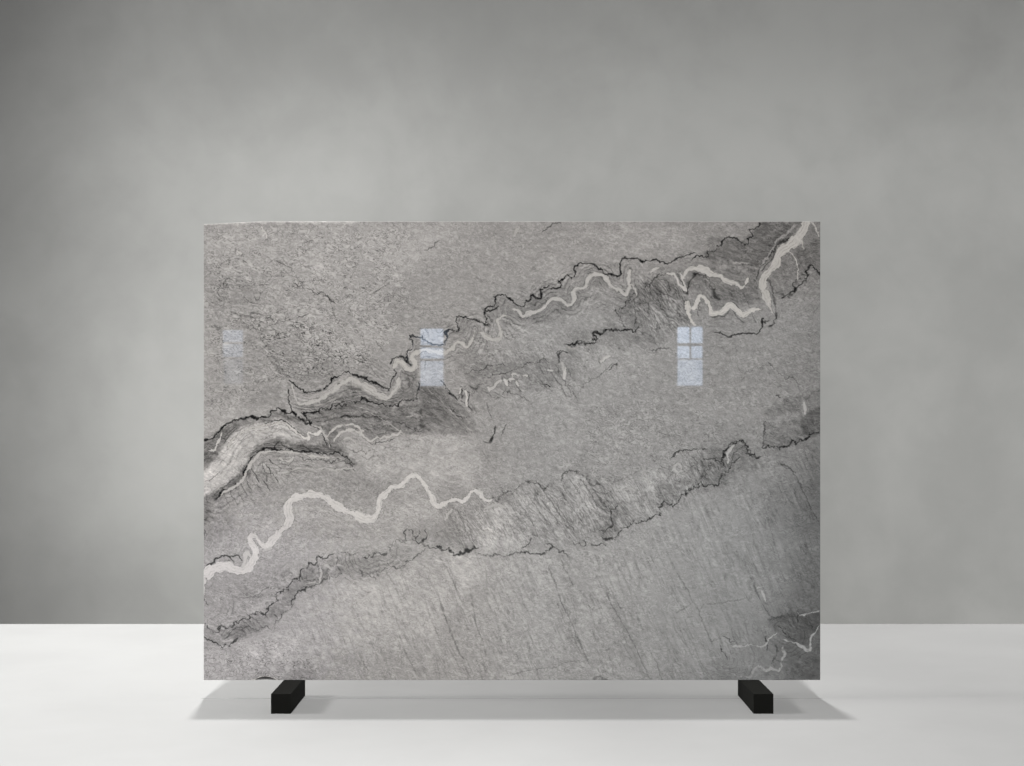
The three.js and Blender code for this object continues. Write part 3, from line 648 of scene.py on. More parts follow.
    (0.4, 0.1, [(729, 645, 2), (735, 646, 3), (742, 647, 3.5), (748, 645, 3), (754, 645, 3), (760, 648, 3),
     (766, 645, 3), (768, 640, 2.5), (772, 636, 2.5), (777, 633, 2)]),
    (0.3, 0.1, [(731, 673, 2), (737, 676, 3), (741, 678, 3), (743, 675, 3), (746, 676, 3), (748, 678.6, 3),
     (752, 677, 3), (753, 670, 3.5), (757, 667, 3), (761, 666, 3), (764, 670, 3), (768, 671, 3.5),
     (771, 667, 3.5), (774, 671, 3.5), (781, 670, 3.5), (782, 665, 4), (780, 660, 4.5), (784, 656, 4),
     (785, 652, 3.5), (782, 649, 3), (783, 645, 2)]),
    (0.35, 0.1, [(784, 640, 2), (790, 641, 3), (796, 642, 3), (801, 646, 3.5), (806, 650, 3.5),
     (810, 652, 3.5), (811, 646, 2.5), (810, 640, 2.5), (811, 636, 3), (814, 634, 3), (817, 628, 2.5),
     (819.6, 625, 2)]),
    (0.35, 0.1, [(798, 612, 1.6), (799, 614.5, 2), (803, 614, 2.2), (805, 616, 2.2), (810, 612, 2.4),
     (815, 612, 2.4), (819.6, 611, 2.4)]),
    (0.4, 0.1, [(762, 591, 2.5), (764, 597, 3), (766, 602, 2.5)]),
    (0.35, 0.1, [(757, 588, 3), (764, 586, 3)]),
    (0.3, 0.1, [(690, 662, 2.5), (700, 658, 2.5), (712, 658, 2.5), (722, 657, 2.5)]),
    # light edge under the lower left suture
    (0.45, 0.1, [(222, 641, 3), (228, 641, 3), (233, 640, 3)]),
    (0.45, 0.1, [(319.5, 583, 2.6), (321, 574, 3), (320, 562, 2)]),
    (0.45, 0.1, [(322, 563, 2), (327, 565, 4), (332, 569, 4)]),
    (0.45, 0.1, [(305, 584, 2), (310, 583, 3), (316, 582, 2)]),
    (0.45, 0.1, [(284, 606, 2), (287, 607, 4), (290, 606, 2)]),
    # rim of the chip
    (0.8, 0.5, [(252.4, 679.6, 1.6), (257.0, 677.8, 2.0), (261.0, 676.3, 2.0), (265.3, 675.7, 2.0),
     (269.6, 676.2, 2.0), (273.8, 677.6, 2.0), (278.2, 679.6, 1.6)]),
]

# A soft-edged area is (tone, softness, points): tone is what it adds to the stone's lightness.
AREAS = [
    # dark layers
    (-0.21, 1.0, [(204, 441), (214, 436), (223, 427), (234, 421), (246, 417), (262, 418), (272, 412),
     (282, 411), (296, 417), (306, 420), (303, 424), (290, 421), (272, 420.7), (261.5, 421.7), (249, 424),
     (240, 427), (232, 433.5), (227, 440), (222, 445), (220, 451), (217, 458), (209, 462), (203, 469)]),
    (-0.21, 1.0, [(247, 456), (256, 447), (262, 443), (268, 441), (279, 438), (285, 441), (300, 445),
     (320, 445), (335, 447), (345, 452), (352, 457), (358, 464), (350, 466), (341, 457), (328, 455),
     (308, 452.5), (289, 450.5), (272, 450.5), (263, 451), (257, 453), (250, 461)]),
    (-0.21, 1.0, [(300, 412), (320, 411), (334, 407), (350, 403), (362, 399), (376, 405), (398, 407),
     (407, 400), (419, 400), (423, 415), (424, 430), (414, 430), (404, 426), (385, 420), (368, 417),
     (345, 418), (322, 424), (308, 420)]),
    (-0.18, 1.6, [(308, 420), (322, 424), (345, 417), (368, 415), (385, 419), (404, 425), (420, 430),
     (419, 400), (418, 386), (441, 386), (450, 396), (457, 402), (466, 412), (474, 422), (478, 432),
     (460, 434), (440, 435), (420, 435), (404, 433), (396, 434), (385, 437), (372, 442), (364, 435),
     (352, 429), (340, 433), (330, 440), (325, 432)]),
    (-0.1, 3.0, [(418, 386), (438, 386), (446, 394), (452, 404), (446, 416), (436, 426), (424, 430)]),
    (0.05, 2.0, [(599, 345), (608, 347), (610, 353), (602, 354)]),
    (-0.1, 1.0, [(707, 243), (713, 237), (724, 236), (723, 241), (717, 245.6), (715, 250), (708, 249)]),
    (-0.1, 1.6, [(773, 240), (776, 232), (788, 224), (796, 222), (788, 232), (784, 236), (776, 238),
     (774, 246), (771, 247)]),
    (-0.12, 1.2, [(792, 249), (799, 250), (799, 259), (795, 254)]),
    (-0.12, 1.2, [(783.6, 251.6), (788, 252), (790, 257), (784, 255)]),
    (-0.13, 1.6, [(679.6, 315), (689, 315), (691, 324), (682, 324)]),
    (-0.08, 1.6, [(706, 297), (712, 303), (721, 306), (720, 310), (712, 311), (709, 302)]),
    (0.15, 0.8, [(203, 219), (340, 219), (362, 223), (340, 223.4), (300, 223.8), (203, 224.4)]),
    (-0.05, 1.6, [(466, 373), (480, 371), (492, 365), (506, 366), (506, 373), (496, 375), (488, 379),
     (474, 380)]),
    (-0.06, 1.0, [(286, 378), (304, 390), (323, 389), (331, 378), (347, 371), (366, 378), (389, 388),
     (396, 372), (391, 362), (403, 356), (408, 350), (409, 335), (420, 337), (436, 345), (446, 338),
     (448, 329), (458, 330), (456, 316), (472, 320), (466, 332), (452, 344), (440, 350), (418, 350),
     (408, 356), (402, 360), (394, 366), (398, 380), (390, 392), (378, 389), (362, 381), (350, 374),
     (340, 381), (326, 391), (305, 398), (292, 400), (287, 390)]),
    (-0.2, 3.0, [(298, 404), (320, 400), (340, 392), (352, 384), (364, 389), (388, 401), (400, 392),
     (404, 372), (416, 372), (420, 384), (418, 400), (404, 400), (390, 407), (362, 399), (340, 406),
     (320, 412), (300, 412)]),
    (-0.3, 3.0, [(204, 497), (216, 489), (232, 482), (243, 470), (250, 460), (254, 462), (248, 476),
     (238, 487), (226, 493), (214, 503), (207, 520), (203, 524)]),
    (-0.12, 4.0, [(204, 516), (214, 505), (226, 500), (236, 506), (234, 525), (222, 540), (208, 552),
     (203, 552)]),
    (-0.21, 1.6, [(700, 256), (716, 248), (728, 238), (742, 241), (752, 231), (760, 222), (800, 222),
     (796, 232), (782, 246), (772, 258), (760, 268), (740, 262), (720, 262)]),
    (-0.15, 2.5, [(690, 262), (740, 262), (760, 270), (760, 300), (744, 306), (726, 300), (712, 306),
     (702, 292), (686, 286)]),
    (-0.15, 5.0, [(622, 292), (636, 284), (652, 280), (672, 280), (688, 292), (690, 312), (676, 330),
     (660, 344), (644, 340), (630, 322), (618, 314)]),
    (-0.1, 3.0, [(800, 246), (821, 240), (821, 276), (810, 268), (804, 284), (784, 298), (772, 292),
     (768, 276), (780, 262)]),
    (-0.1, 6.0, [(560, 334), (600, 326), (640, 324), (660, 340), (640, 350), (606, 346), (570, 352)]),
    (-0.1, 6.0, [(462, 366), (500, 362), (540, 358), (580, 352), (574, 376), (530, 392), (490, 396),
     (470, 390)]),
    (-0.12, 4.0, [(484, 318), (498, 296), (524, 306), (540, 292), (562, 284), (576, 264), (606, 272),
     (620, 282), (604, 282), (590, 290), (574, 310), (548, 322), (520, 324), (500, 322)]),
    # the mottled middle band and its darker lower rim
    (-0.07, 6.0, [(440, 512), (470, 506), (500, 490), (528, 478), (556, 482), (574, 470), (604, 482),
     (612, 502), (640, 494), (668, 484), (690, 470), (704, 456), (724, 446), (744, 440), (760, 456),
     (742, 462), (724, 486), (700, 490), (664, 508), (640, 524), (616, 540), (580, 546), (540, 554),
     (500, 556), (470, 548), (446, 540)]),
    (-0.09, 5.0, [(586, 478), (602, 480), (616, 504), (622, 524), (612, 542), (592, 544), (600, 520),
     (596, 500)]),
    (-0.07, 4.0, [(694, 452), (722, 447), (726, 441), (742, 440), (752, 454), (738, 462), (726, 484),
     (700, 488), (690, 480), (704, 470)]),
    (-0.1, 1.6, [(764, 422), (776, 426), (790, 420), (821, 406), (821, 433), (806, 441), (780, 449),
     (764, 448)]),
    (-0.16, 1.2, [(784, 399), (791, 397), (801, 397), (802, 410), (793, 413), (783, 410)]),
    (-0.12, 1.6, [(765, 411), (773, 405), (784, 404), (784, 415), (776, 419), (767, 417)]),
    (-0.14, 1.2, [(801, 417), (808, 412), (821, 405), (821, 434), (808, 436), (802, 430)]),
    (-0.08, 0.9, [(736, 470), (742, 460), (748, 457), (757, 461), (759, 470), (754, 472)]),
    (-0.08, 3.0, [(800, 392), (812, 392), (821, 388), (821, 404), (808, 411), (802, 400)]),
    (-0.1, 1.2, [(204, 626), (220, 636), (236, 622), (252, 618), (266, 616), (278, 600), (290, 584),
     (302, 570), (318, 560), (340, 560), (362, 560), (380, 556), (380, 572), (360, 576), (340, 573),
     (322, 582), (302, 590), (292, 604), (278, 618), (262, 632), (236, 638), (222, 648), (203, 638)]),
    (-0.12, 3.0, [(232, 628), (248, 626), (258, 632), (250, 637), (236, 639), (230, 634)]),
    (-0.1, 3.0, [(302, 566), (316, 564), (318, 578), (304, 578)]),
    (-0.08, 3.0, [(392, 546), (410, 544), (412, 556), (402, 566), (390, 566)]),
    (-0.1, 5.0, [(420, 522), (452, 526), (476, 540), (474, 550), (440, 546), (410, 540), (404, 530)]),
    # the lower right corner
    (-0.13, 2.5, [(768, 620), (798, 612), (821, 612), (821, 628), (810, 640), (804, 648), (784, 638),
     (774, 632)]),
    (-0.08, 3.0, [(768, 640), (784, 640), (806, 652), (821, 640), (821, 681), (786, 681), (786, 656)]),
    (-0.1, 5.0, [(700, 664), (724, 660), (730, 681), (706, 681)]),
    (-0.07, 4.0, [(608, 592), (622, 612), (632, 636), (644, 664), (650, 681), (640, 681), (626, 640),
     (606, 600)]),
    # pale areas
    (0.08, 4.0, [(470, 520), (480, 506), (500, 500), (516, 510), (512, 530), (526, 540), (520, 552),
     (486, 552)]),
    (0.07, 3.0, [(512, 492), (526, 486), (532, 498), (520, 508), (512, 502)]),
    (0.09, 4.0, [(566, 478), (578, 472), (592, 484), (598, 506), (590, 520), (578, 506)]),
    (0.06, 4.0, [(530, 486), (544, 484), (556, 500), (552, 520), (538, 512)]),
    (-0.08, 6.0, [(252, 322), (276, 330), (300, 348), (322, 362), (346, 366), (331, 378), (318, 390),
     (296, 387), (280, 372), (262, 352)]),
    (0.2, 0.9, [(203, 471), (211, 463), (218, 457), (221, 451), (223, 446), (228, 440), (233, 434.6),
     (241, 427), (248, 425.4), (254, 423.4), (266, 423), (273, 421), (274, 418), (280, 416.6), (286, 418),
     (292, 425), (299, 432), (307, 437), (300, 442), (289, 440), (279, 437), (268, 439.6), (262, 442),
     (255, 446), (250, 452), (247, 462), (243, 468), (239, 473), (233, 478), (227, 483), (219, 490),
     (203, 497)]),
    (0.09, 3.0, [(227, 440), (236, 438), (236, 448), (230, 452), (225, 450)]),
    (0.14, 2.0, [(204, 476), (209, 469), (216, 469), (216, 475), (210, 480), (204, 481)]),
    (-0.07, 4.0, [(240, 440), (252, 434), (268, 433), (276, 432), (268, 438), (254, 444), (246, 456),
     (238, 462)]),
    (-0.07, 3.0, [(226, 484), (240, 470), (246, 456), (252, 448), (250, 458), (244, 470), (238, 478)]),
    (-0.1, 3.0, [(284, 417), (296, 418), (308, 428), (310, 432), (300, 430), (292, 424)]),
    (0.1, 6.0, [(340, 444), (380, 440), (420, 434), (452, 432), (476, 446), (480, 470), (470, 488),
     (440, 486), (424, 470), (404, 472), (390, 482), (370, 480), (360, 462)]),
    (0.1, 8.0, [(240, 644), (280, 626), (300, 596), (330, 582), (380, 580), (420, 560), (440, 552),
     (480, 558), (470, 590), (430, 640), (360, 650), (300, 660), (250, 664)]),
    (0.05, 8.0, [(204, 655), (240, 645), (300, 640), (300, 681), (203, 681)]),
    (0.1, 3.0, [(621, 482), (635, 480), (637, 494), (624, 498)]),
    (0.12, 3.0, [(642, 472), (656, 470), (658, 486), (646, 490)]),
    (0.1, 3.5, [(486, 512), (504, 508), (510, 520), (500, 530), (488, 524)]),
    (0.1, 3.5, [(484, 528), (498, 526), (498, 546), (488, 552)]),
    (0.08, 3.0, [(518, 530), (528, 528), (528, 544), (520, 546)]),
    (0.06, 8.0, [(220, 228), (360, 226), (470, 226), (420, 262), (380, 300), (400, 330), (372, 360),
     (330, 350), (280, 300), (230, 270)]),
    (0.05, 5.0, [(576, 232), (620, 224), (690, 226), (680, 248), (620, 250)]),
    (-0.07, 8.0, [(206, 270), (240, 280), (262, 340), (280, 400), (240, 410), (206, 420)]),
    (-0.05, 8.0, [(206, 580), (240, 580), (262, 596), (240, 616), (206, 618)]),
    (-0.04, 6.0, [(330, 480), (362, 468), (384, 480), (376, 506), (356, 508), (336, 500)]),
    # slow drifts of tone
    (-0.05, 10.0, [(246, 270), (292, 270), (296, 298), (250, 300)]),
    (0.035, 8.0, [(206, 226), (240, 226), (240, 250), (206, 256)]),
    (0.035, 8.0, [(206, 335), (240, 335), (244, 410), (206, 425)]),
    (-0.035, 12.0, [(450, 226), (550, 226), (545, 262), (450, 275)]),
    (0.04, 8.0, [(548, 268), (592, 268), (592, 292), (548, 300)]),
    (-0.03, 6.0, [(455, 345), (550, 345), (540, 365), (455, 375)]),
    (-0.06, 5.0, [(250, 385), (285, 385), (300, 412), (250, 412)]),
    (-0.04, 8.0, [(450, 388), (490, 392), (490, 412), (455, 412)]),
    (-0.05, 3.0, [(295, 430), (350, 436), (350, 452), (300, 450)]),
    (-0.04, 8.0, [(700, 425), (745, 420), (745, 450), (700, 455)]),
    (-0.035, 5.0, [(245, 470), (295, 470), (290, 492), (250, 492)]),
    (0.035, 8.0, [(206, 505), (290, 510), (300, 500), (480, 505), (480, 535), (206, 540)]),
    (0.04, 8.0, [(400, 465), (440, 465), (440, 535), (400, 535)]),
    (-0.03, 10.0, [(240, 585), (345, 565), (345, 655), (240, 620)]),
    (0.025, 12.0, [(455, 552), (560, 552), (560, 670), (480, 670)]),
    (0.03, 8.0, [(750, 465), (800, 465), (800, 495), (750, 495)]),
    # beside the tip and the start of the fold at the left edge
    (-0.14, 4, [(297, 442), (310, 446), (322, 445), (329, 436), (324, 428), (331, 426), (339, 437),
     (347, 452), (330, 452), (300, 449)]),
    (-0.1, 4, [(204, 442), (222, 429), (240, 422), (227, 436), (216, 455), (204, 470)]),
    # small drifts of tone
    (-0.07, 9, [(655, 264), (690, 266), (688, 298), (656, 296)]),
    (-0.05, 9, [(603, 306), (640, 308), (636, 334), (605, 332)]),
    (0.05, 12, [(405, 468), (440, 470), (436, 494), (408, 492)]),
    (0.05, 12, [(455, 546), (488, 548), (486, 574), (456, 572)]),
    (0.05, 9, [(556, 270), (586, 268), (584, 292), (558, 292)]),
    (0.04, 12, [(255, 508), (290, 506), (288, 534), (258, 536)]),
]

# Weights of the fine textures: (texture, weight, softness, points).
TEXTURED = [
    ("crackle", 0.85, 14, [(228, 312), (262, 312), (300, 316), (336, 326), (356, 344), (376, 362),
     (346, 370), (330, 376), (288, 378), (262, 350)]),
    ("crackle", 0.65, 16, [(204, 262), (226, 268), (252, 260), (280, 262), (312, 282), (332, 302),
     (300, 300), (270, 286), (244, 290), (204, 300)]),
    ("layered", 0.3, 8, [(276, 350), (300, 366), (318, 362), (346, 352), (372, 356), (386, 368), (370, 376),
     (347, 370), (331, 378), (322, 388), (304, 390), (286, 378)]),
    ("crackle", 0.42, 14, [(206, 226), (420, 226), (400, 262), (416, 300), (400, 330), (370, 372),
     (285, 385), (206, 420)]),
    ("crackle", 0.5, 16, [(204, 652), (260, 640), (300, 640), (330, 681), (204, 681)]),
    ("crackle", 0.28, 16, [(580, 400), (700, 400), (740, 440), (690, 490), (600, 500), (580, 470)]),
    ("crackle", 0.25, 14, [(400, 300), (446, 290), (470, 310), (440, 340), (404, 336)]),
    ("crackle", 0.3, 14, [(440, 330), (540, 320), (560, 350), (520, 372), (460, 372)]),
    ("crackle", 0.3, 12, [(206, 580), (270, 576), (290, 580), (262, 612), (220, 622), (206, 620)]),
    ("crackle", 0.2, 16, [(206, 500), (300, 470), (440, 480), (440, 540), (330, 550), (206, 600)]),
    ("hatch", 0.6, 8, [(236, 468), (262, 458), (300, 460), (296, 480), (262, 492), (240, 500)]),
    ("hatch", 1.0, 8, [(636, 276), (672, 278), (690, 290), (690, 330), (650, 336), (628, 312)]),
    ("hatch", 0.35, 14, [(470, 350), (560, 326), (640, 300), (690, 290), (690, 330), (600, 380), (520, 400),
     (470, 400)]),
    ("hatch", 0.8, 12, [(440, 510), (500, 492), (530, 476), (560, 482), (574, 470), (604, 480), (640, 478),
     (700, 450), (740, 460), (690, 500), (600, 545), (460, 550)]),
    ("hatch", 0.35, 12, [(690, 268), (752, 272), (756, 312), (700, 318)]),
    ("hatch", 0.3, 10, [(770, 262), (812, 250), (812, 290), (780, 300)]),
    ("layered", 0.5, 4, [(203, 440), (234, 420), (272, 410), (300, 416), (326, 430), (352, 456), (330, 474),
     (262, 476), (240, 500), (203, 530)]),
    ("layered", 0.5, 4, [(286, 378), (304, 390), (330, 380), (347, 370), (372, 380), (392, 386), (394, 362),
     (410, 340), (420, 338), (420, 400), (300, 412)]),
    ("layered", 0.15, 8, [(204, 480), (300, 470), (360, 462), (440, 440), (480, 500), (440, 520),
     (380, 530), (250, 600), (203, 600)]),
    ("layered", 0.7, 6, [(410, 335), (500, 300), (580, 262), (640, 262), (640, 300), (560, 320), (480, 350),
     (420, 370)]),
    ("layered", 0.25, 8, [(640, 262), (720, 250), (780, 222), (821, 222), (821, 320), (700, 330),
     (640, 300)]),
    ("layered", 0.6, 8, [(204, 620), (300, 560), (400, 540), (400, 570), (320, 592), (220, 652)]),
    ("layered", 0.15, 8, [(400, 540), (600, 500), (740, 440), (821, 400), (821, 440), (700, 500),
     (600, 550), (400, 570)]),
    ("layered", 0.3, 6, [(716, 640), (800, 606), (821, 606), (821, 681), (716, 681)]),
    ("streak", 1.0, 14, [(300, 596), (420, 560), (620, 548), (740, 470), (821, 440), (821, 610), (760, 640),
     (700, 681), (260, 681)]),
    ("streak", 0.5, 20, [(470, 400), (620, 350), (821, 330), (821, 400), (700, 450), (560, 470),
     (480, 480)]),
    ("calm", 0.75, 32, [(630, 700), (645, 560), (690, 500), (840, 455), (840, 700)]),
    ("calm", 1.0, 20, [(715, 700), (735, 590), (840, 560), (840, 700)]),
]


# Bands of thin layers: (how many layers, weight, one edge, the other edge).
BANDS = [
    (4, 0.4, [(203, 468), (212, 461), (221, 452), (228, 440), (240, 427), (252, 423.5), (262, 422),
     (268, 420.5), (272, 417.5), (278, 416), (285, 417), (292, 421), (300, 428), (308, 432)], [(203, 490),
     (214, 485), (226, 480), (234, 468), (240, 456), (248, 446), (262, 441.5), (272, 441), (282, 438),
     (292, 443), (302, 445), (312, 446)]),
    (4, 0.55, [(203, 441), (214, 437), (223, 428), (234, 421), (246, 417.5), (262, 418.5), (270, 412),
     (282, 411.5)], [(203, 466), (212, 459), (220, 451), (227, 440), (240, 426), (252, 422.5), (262, 421),
     (270, 417), (282, 416)]),
    (7, 0.9, [(289, 382), (296, 387), (303, 392.5), (314, 392.5), (323, 390.5), (331, 380), (347, 373),
     (363, 379), (376, 384), (389, 390), (394, 378)], [(292, 408), (303, 412), (320, 410.5), (334, 406),
     (350, 403), (362, 398), (376, 404), (398, 406), (405, 400)]),
    (6, 0.4, [(262, 344), (276, 356), (296, 362), (320, 352), (340, 346), (362, 350), (384, 360),
     (393, 370)], [(280, 380), (288, 381), (303, 391), (314, 391), (323, 389), (331, 379), (347, 371.5),
     (363, 377.5), (376, 382.5), (389, 388)]),
    (5, 0.6, [(304, 414), (320, 411.5), (334, 407), (350, 404), (362, 399), (376, 405), (398, 407),
     (418, 401)], [(322, 431), (335, 431), (350, 428), (362, 431), (376, 438), (398, 433), (422, 434)]),
    (3, 1.0, [(248, 447), (262, 442.5), (272, 442), (282, 439), (292, 444), (302, 446), (318, 448),
     (336, 448), (346, 452)], [(253, 454), (262, 450), (272, 449), (282, 449.5), (292, 449.5), (302, 451),
     (318, 453), (336, 452), (346, 456)]),
]

# ---------------------------------------------------------------------------------------------
# Slow changes over the drawing: (amount, smooth steps across, smooth steps down).
# ---------------------------------------------------------------------------------------------
BASE_LIGHT = 0.590
LIGHT_DRIFTS = [
    (0.040, [(400, 600)], [(240, 330)]),
    # the drifts darker toward the right are partly the stone's own tone and partly painted shade, where
    # less light falls on that side
    (-0.060, [(300, 821)], []),
    (0.035, [(340, 240)], [(470, 400)]),
    (-0.025, [(640, 821)], [(280, 380)]),
    (0.045, [(280, 330), (790, 700)], [(300, 250)]),
    (-0.020, [], [(330, 230)]),
    (-0.005, [(230, 300), (450, 380)], [(390, 350)]),
    (-0.115, [(735, 815)], [(400, 520)]),
    (-0.040, [(786, 821)], []),
    (-0.030, [(480, 740)], [(520, 680)]),
    (0.016, [], [(480, 510), (565, 535)]),
]
WARM_DRIFTS = [(-0.55, [(560, 800)], [(380, 560)]), (-0.40, [(450, 560)], [(260, 330)])]
PINK_DRIFTS = [(0.85, [(420, 230)], [(440, 600)])]


def placed(name, data, location=(0.0, 0.0, 0.0), rotation=(0.0, 0.0, 0.0)):
    """A new object of the scene."""
    piece = bpy.data.objects.new(name, data)
    piece.location = location
    piece.rotation_euler = rotation
    bpy.context.scene.collection.objects.link(piece)
    return piece


def smooth(low, high, value):
    """A smooth step from 0 at low to 1 at high."""
    t = np.clip((value - low) / (high - low), 0.0, 1.0)
    return t * t * (3.0 - 2.0 * t)


def drifting(base, drifts, x, y):
    """A value that starts at base and changes slowly over the drawing."""
    total = np.full(len(x), float(base))
    for amount, across, down in drifts:
        share = amount
        for value, steps in ((x, across), (y, down)):
            for low, high in steps:
                share = share * smooth(low, high, value)
        total += share
    return total


# ---------------------------------------------------------------------------------------------
# Lines of the pattern
# ---------------------------------------------------------------------------------------------
STROKE_STEP = 1.05
GUIDE_STEP = 2.5
TEETH = ((1.0, 1), (1.2, 3), (0.5, 8))      # (weight, spacing in steps)
LARGEST_SWELL = 1.6
JOINT_SEED, VEIN_SEED, AREA_SEED = 500, 900, 1300
DARK_LINE_SLIMMING = 0.86
GUIDE_WIDTH = 2.5                           # dark lines wider than this guide the layers
GUIDE_STRENGTH = 0.6                        # so do white veins stronger than this
FLOW_REACH = 30.0
LAYER_THICKNESS = 4.17


def resample(points, step):
    """Points at even steps along a line; any further columns, such as a width, follow."""
    points = np.asarray(points, float)
    lengths = np.hypot(*np.diff(points[:, :2], axis=0).T)
    along = np.concatenate([[0.0], np.cumsum(lengths)])
    places = np.linspace(0.0, along[-1], max(2, int(round(along[-1] / step)) + 1))
    return np.stack([np.interp(places, along, column) for column in points.T], axis=1)


def rounded(points, passes=2):
    """Corner cutting that keeps the two ends."""
    points = np.asarray(points, float)
    for _ in range(passes):
        near_end = points[:-1] * 0.75 + points[1:] * 0.25
        far_end = points[:-1] * 0.25 + points[1:] * 0.75
        between = np.stack([near_end, far_end], axis=1).reshape(-1, points.shape[1])
        points = np.concatenate([points[:1], between, points[-1:]])
    return points


def side_vectors(points):
    """The unit vector to the left of a line at each of its points."""
    along = np.gradient(points[:, :2], axis=0)
    along /= np.maximum(np.hypot(*along.T), 1e-9)[:, None]
    return np.stack([-along[:, 1], along[:, 0]], axis=1)


def wobble(source, count, spacing):
    """Smooth random numbers, one new one every few places."""
    knots = np.arange(0, count + spacing, spacing)
    return np.interp(np.arange(count), knots, source.normal(0.0, 1.0, len(knots)))


def jagged(points, roughness, unevenness, seed):
    """A line with small seeded teeth on it and a width that varies: its points are (x, y, width)."""
    points = resample(points, STROKE_STEP)
    source = np.random.default_rng(seed)
    count = len(points)
    fade = np.minimum(1.0, np.minimum(np.arange(count), np.arange(count)[::-1]) / 3.0)
    teeth = sum(weight * wobble(source, count, spacing) for weight, spacing in TEETH)
    points[:, :2] += side_vectors(points) * (roughness * fade * teeth)[:, None]
    swell = wobble(source, count, 5) + 0.5 * wobble(source, count, 2)
    points[:, 2] *= 1.0 + unevenness * np.clip(swell, -LARGEST_SWELL, LARGEST_SWELL)
    return points


def measure(places, line):
    """For each place: its distance to the line, its side and the line's further columns there."""
    start, step = line[:-1, :2], np.diff(line[:, :2], axis=0)
    squared = np.maximum((step ** 2).sum(axis=1), 1e-9)
    offset = places[:, None, :] - start[None]
    share = np.clip((offset * step[None]).sum(axis=2) / squared[None], 0.0, 1.0)
    gap = offset - share[:, :, None] * step[None]
    distance = np.hypot(gap[:, :, 0], gap[:, :, 1])
    nearest = distance.argmin(axis=1)
    rows = np.arange(len(places))
    side = np.sign(step[nearest, 0] * gap[rows, nearest, 1] - step[nearest, 1] * gap[rows, nearest, 0])
    change = line[nearest + 1, 2:] - line[nearest, 2:]
    return distance[rows, nearest], side, line[nearest, 2:] + share[rows, nearest][:, None] * change


def near(places, line, reach):
    """Which places lie in the line's box, grown by reach."""
    line = np.asarray(line, float)
    low, high = line[:, :2].min(axis=0) - reach, line[:, :2].max(axis=0) + reach
    return np.nonzero(((places > low) & (places < high)).all(axis=1))[0]


def signed_depth(places, outline):
    """How far inside a closed outline each place is; it is negative outside."""
    outline = np.asarray(outline, float)
    closed = np.concatenate([outline, outline[:1]])
    inside = np.zeros(len(places), bool)
    for (x0, y0), (x1, y1) in zip(closed[:-1], closed[1:]):
        if y0 != y1:
            crosses = (places[:, 1] > min(y0, y1)) & (places[:, 1] <= max(y0, y1))
            inside ^= crosses & (places[:, 0] < x0 + (places[:, 1] - y0) * (x1 - x0) / (y1 - y0))
    return measure(places, closed)[0] * np.where(inside, 1.0, -1.0)


def widened(points, width):
    """The points with a width."""
    return [(x, y, width) for x, y in points]


SUTURES = [(strength, jagged(widened(points, width * DARK_LINE_SLIMMING), roughness, 0.45, seed))
           for seed, (width, strength, roughness, points) in enumerate(DARK_LINES)]
JOINTS = [(strength, jagged(rounded(widened(points, width)), 0.25, 0.3, JOINT_SEED + seed))
          for seed, (width, strength, points) in enumerate(STRAIGHT_LINES)]
VEINS = [(strength, cream, jagged(rounded(points), 0.36, 0.24, VEIN_SEED + seed))
         for seed, (strength, cream, points) in enumerate(WHITE_VEINS)]
EDGES = [(tone, softness, jagged(widened(outline + outline[:1], 1.0), 0.55, 0.0, AREA_SEED + seed))
         for seed, (tone, softness, outline) in enumerate(AREAS)]
GUIDES = [resample(rounded(points), GUIDE_STEP)
          for width, _, _, points in DARK_LINES if width > GUIDE_WIDTH]
GUIDES += [resample(rounded(points), GUIDE_STEP)[:, :2]
           for strength, _, points in WHITE_VEINS if strength > GUIDE_STRENGTH]
STRIPS = [(layers, weight, resample(rounded(one), GUIDE_STEP), resample(rounded(other), GUIDE_STEP))
          for layers, weight, one, other in BANDS]

# ---------------------------------------------------------------------------------------------
# The pattern's values at places of the drawing
# ---------------------------------------------------------------------------------------------
FIELD_NAMES = ("dark", "joint", "white", "across", "cream", "vein_light", "shade", "layered", "crackle",
               "hatch", "streak", "calm")
BASE_CRACKLE = 0.14
TONE_SCALE = 0.6
DARK_EDGE_SOFTNESS = 0.9
VEIN_EDGE_SOFTNESS = 1.2
STRIP_SOFTNESS = 1.5
VEIN_BOOST = 0.25
FAINT_VEIN_LIGHT, VEIN_LIGHT_GAIN = 0.58, 0.19
PLACES_AT_ONCE = 6000


def add_areas(field, places):
    """The tones of the areas, and the weights of the textures, which don't add up."""
    for tone, softness, outline in EDGES:
        found = near(places, outline, softness)
        depth = signed_depth(places[found], outline[:, :2])
        field["shade"][found] += tone * TONE_SCALE * smooth(-softness, softness, depth)
    for name, weight, softness, outline in TEXTURED:
        found = near(places, outline, softness)
        value = weight * smooth(-softness, softness, signed_depth(places[found], outline))
        field[name][found] = np.maximum(field[name][found], value)


def add_dark_lines(field, places):
    for name, lines in (("dark", SUTURES), ("joint", JOINTS)):
        for strength, line in lines:
            found = near(places, line, line[:, 2].max())
            distance, _, further = measure(places[found], line)
            half = further[:, 0] / 2
            inside = (half - distance) / np.clip(half, 0.1, DARK_EDGE_SOFTNESS)
            field[name][found] = np.maximum(field[name][found], strength * np.clip(inside, 0.0, 1.0))


def add_layers(field, places):
    """How far each place is across the layers, which run along guides and between a strip's edges."""
    for line in GUIDES:
        found = near(places, line, FLOW_REACH)
        field["flow"][found] = np.minimum(field["flow"][found], measure(places[found], line)[0])
    for layers, weight, one, other in STRIPS:
        outline = np.concatenate([one, other[::-1]])
        found = near(places, outline, STRIP_SOFTNESS)
        depth = signed_depth(places[found], outline)
        found, depth = found[depth > -STRIP_SOFTNESS], depth[depth > -STRIP_SOFTNESS]
        first, second = measure(places[found], one)[0], measure(places[found], other)[0]
        field["flow"][found] = layers * LAYER_THICKNESS * first / (first + second)
        value = weight * smooth(-STRIP_SOFTNESS, STRIP_SOFTNESS, depth)
        field["layered"][found] = np.maximum(field["layered"][found], value)


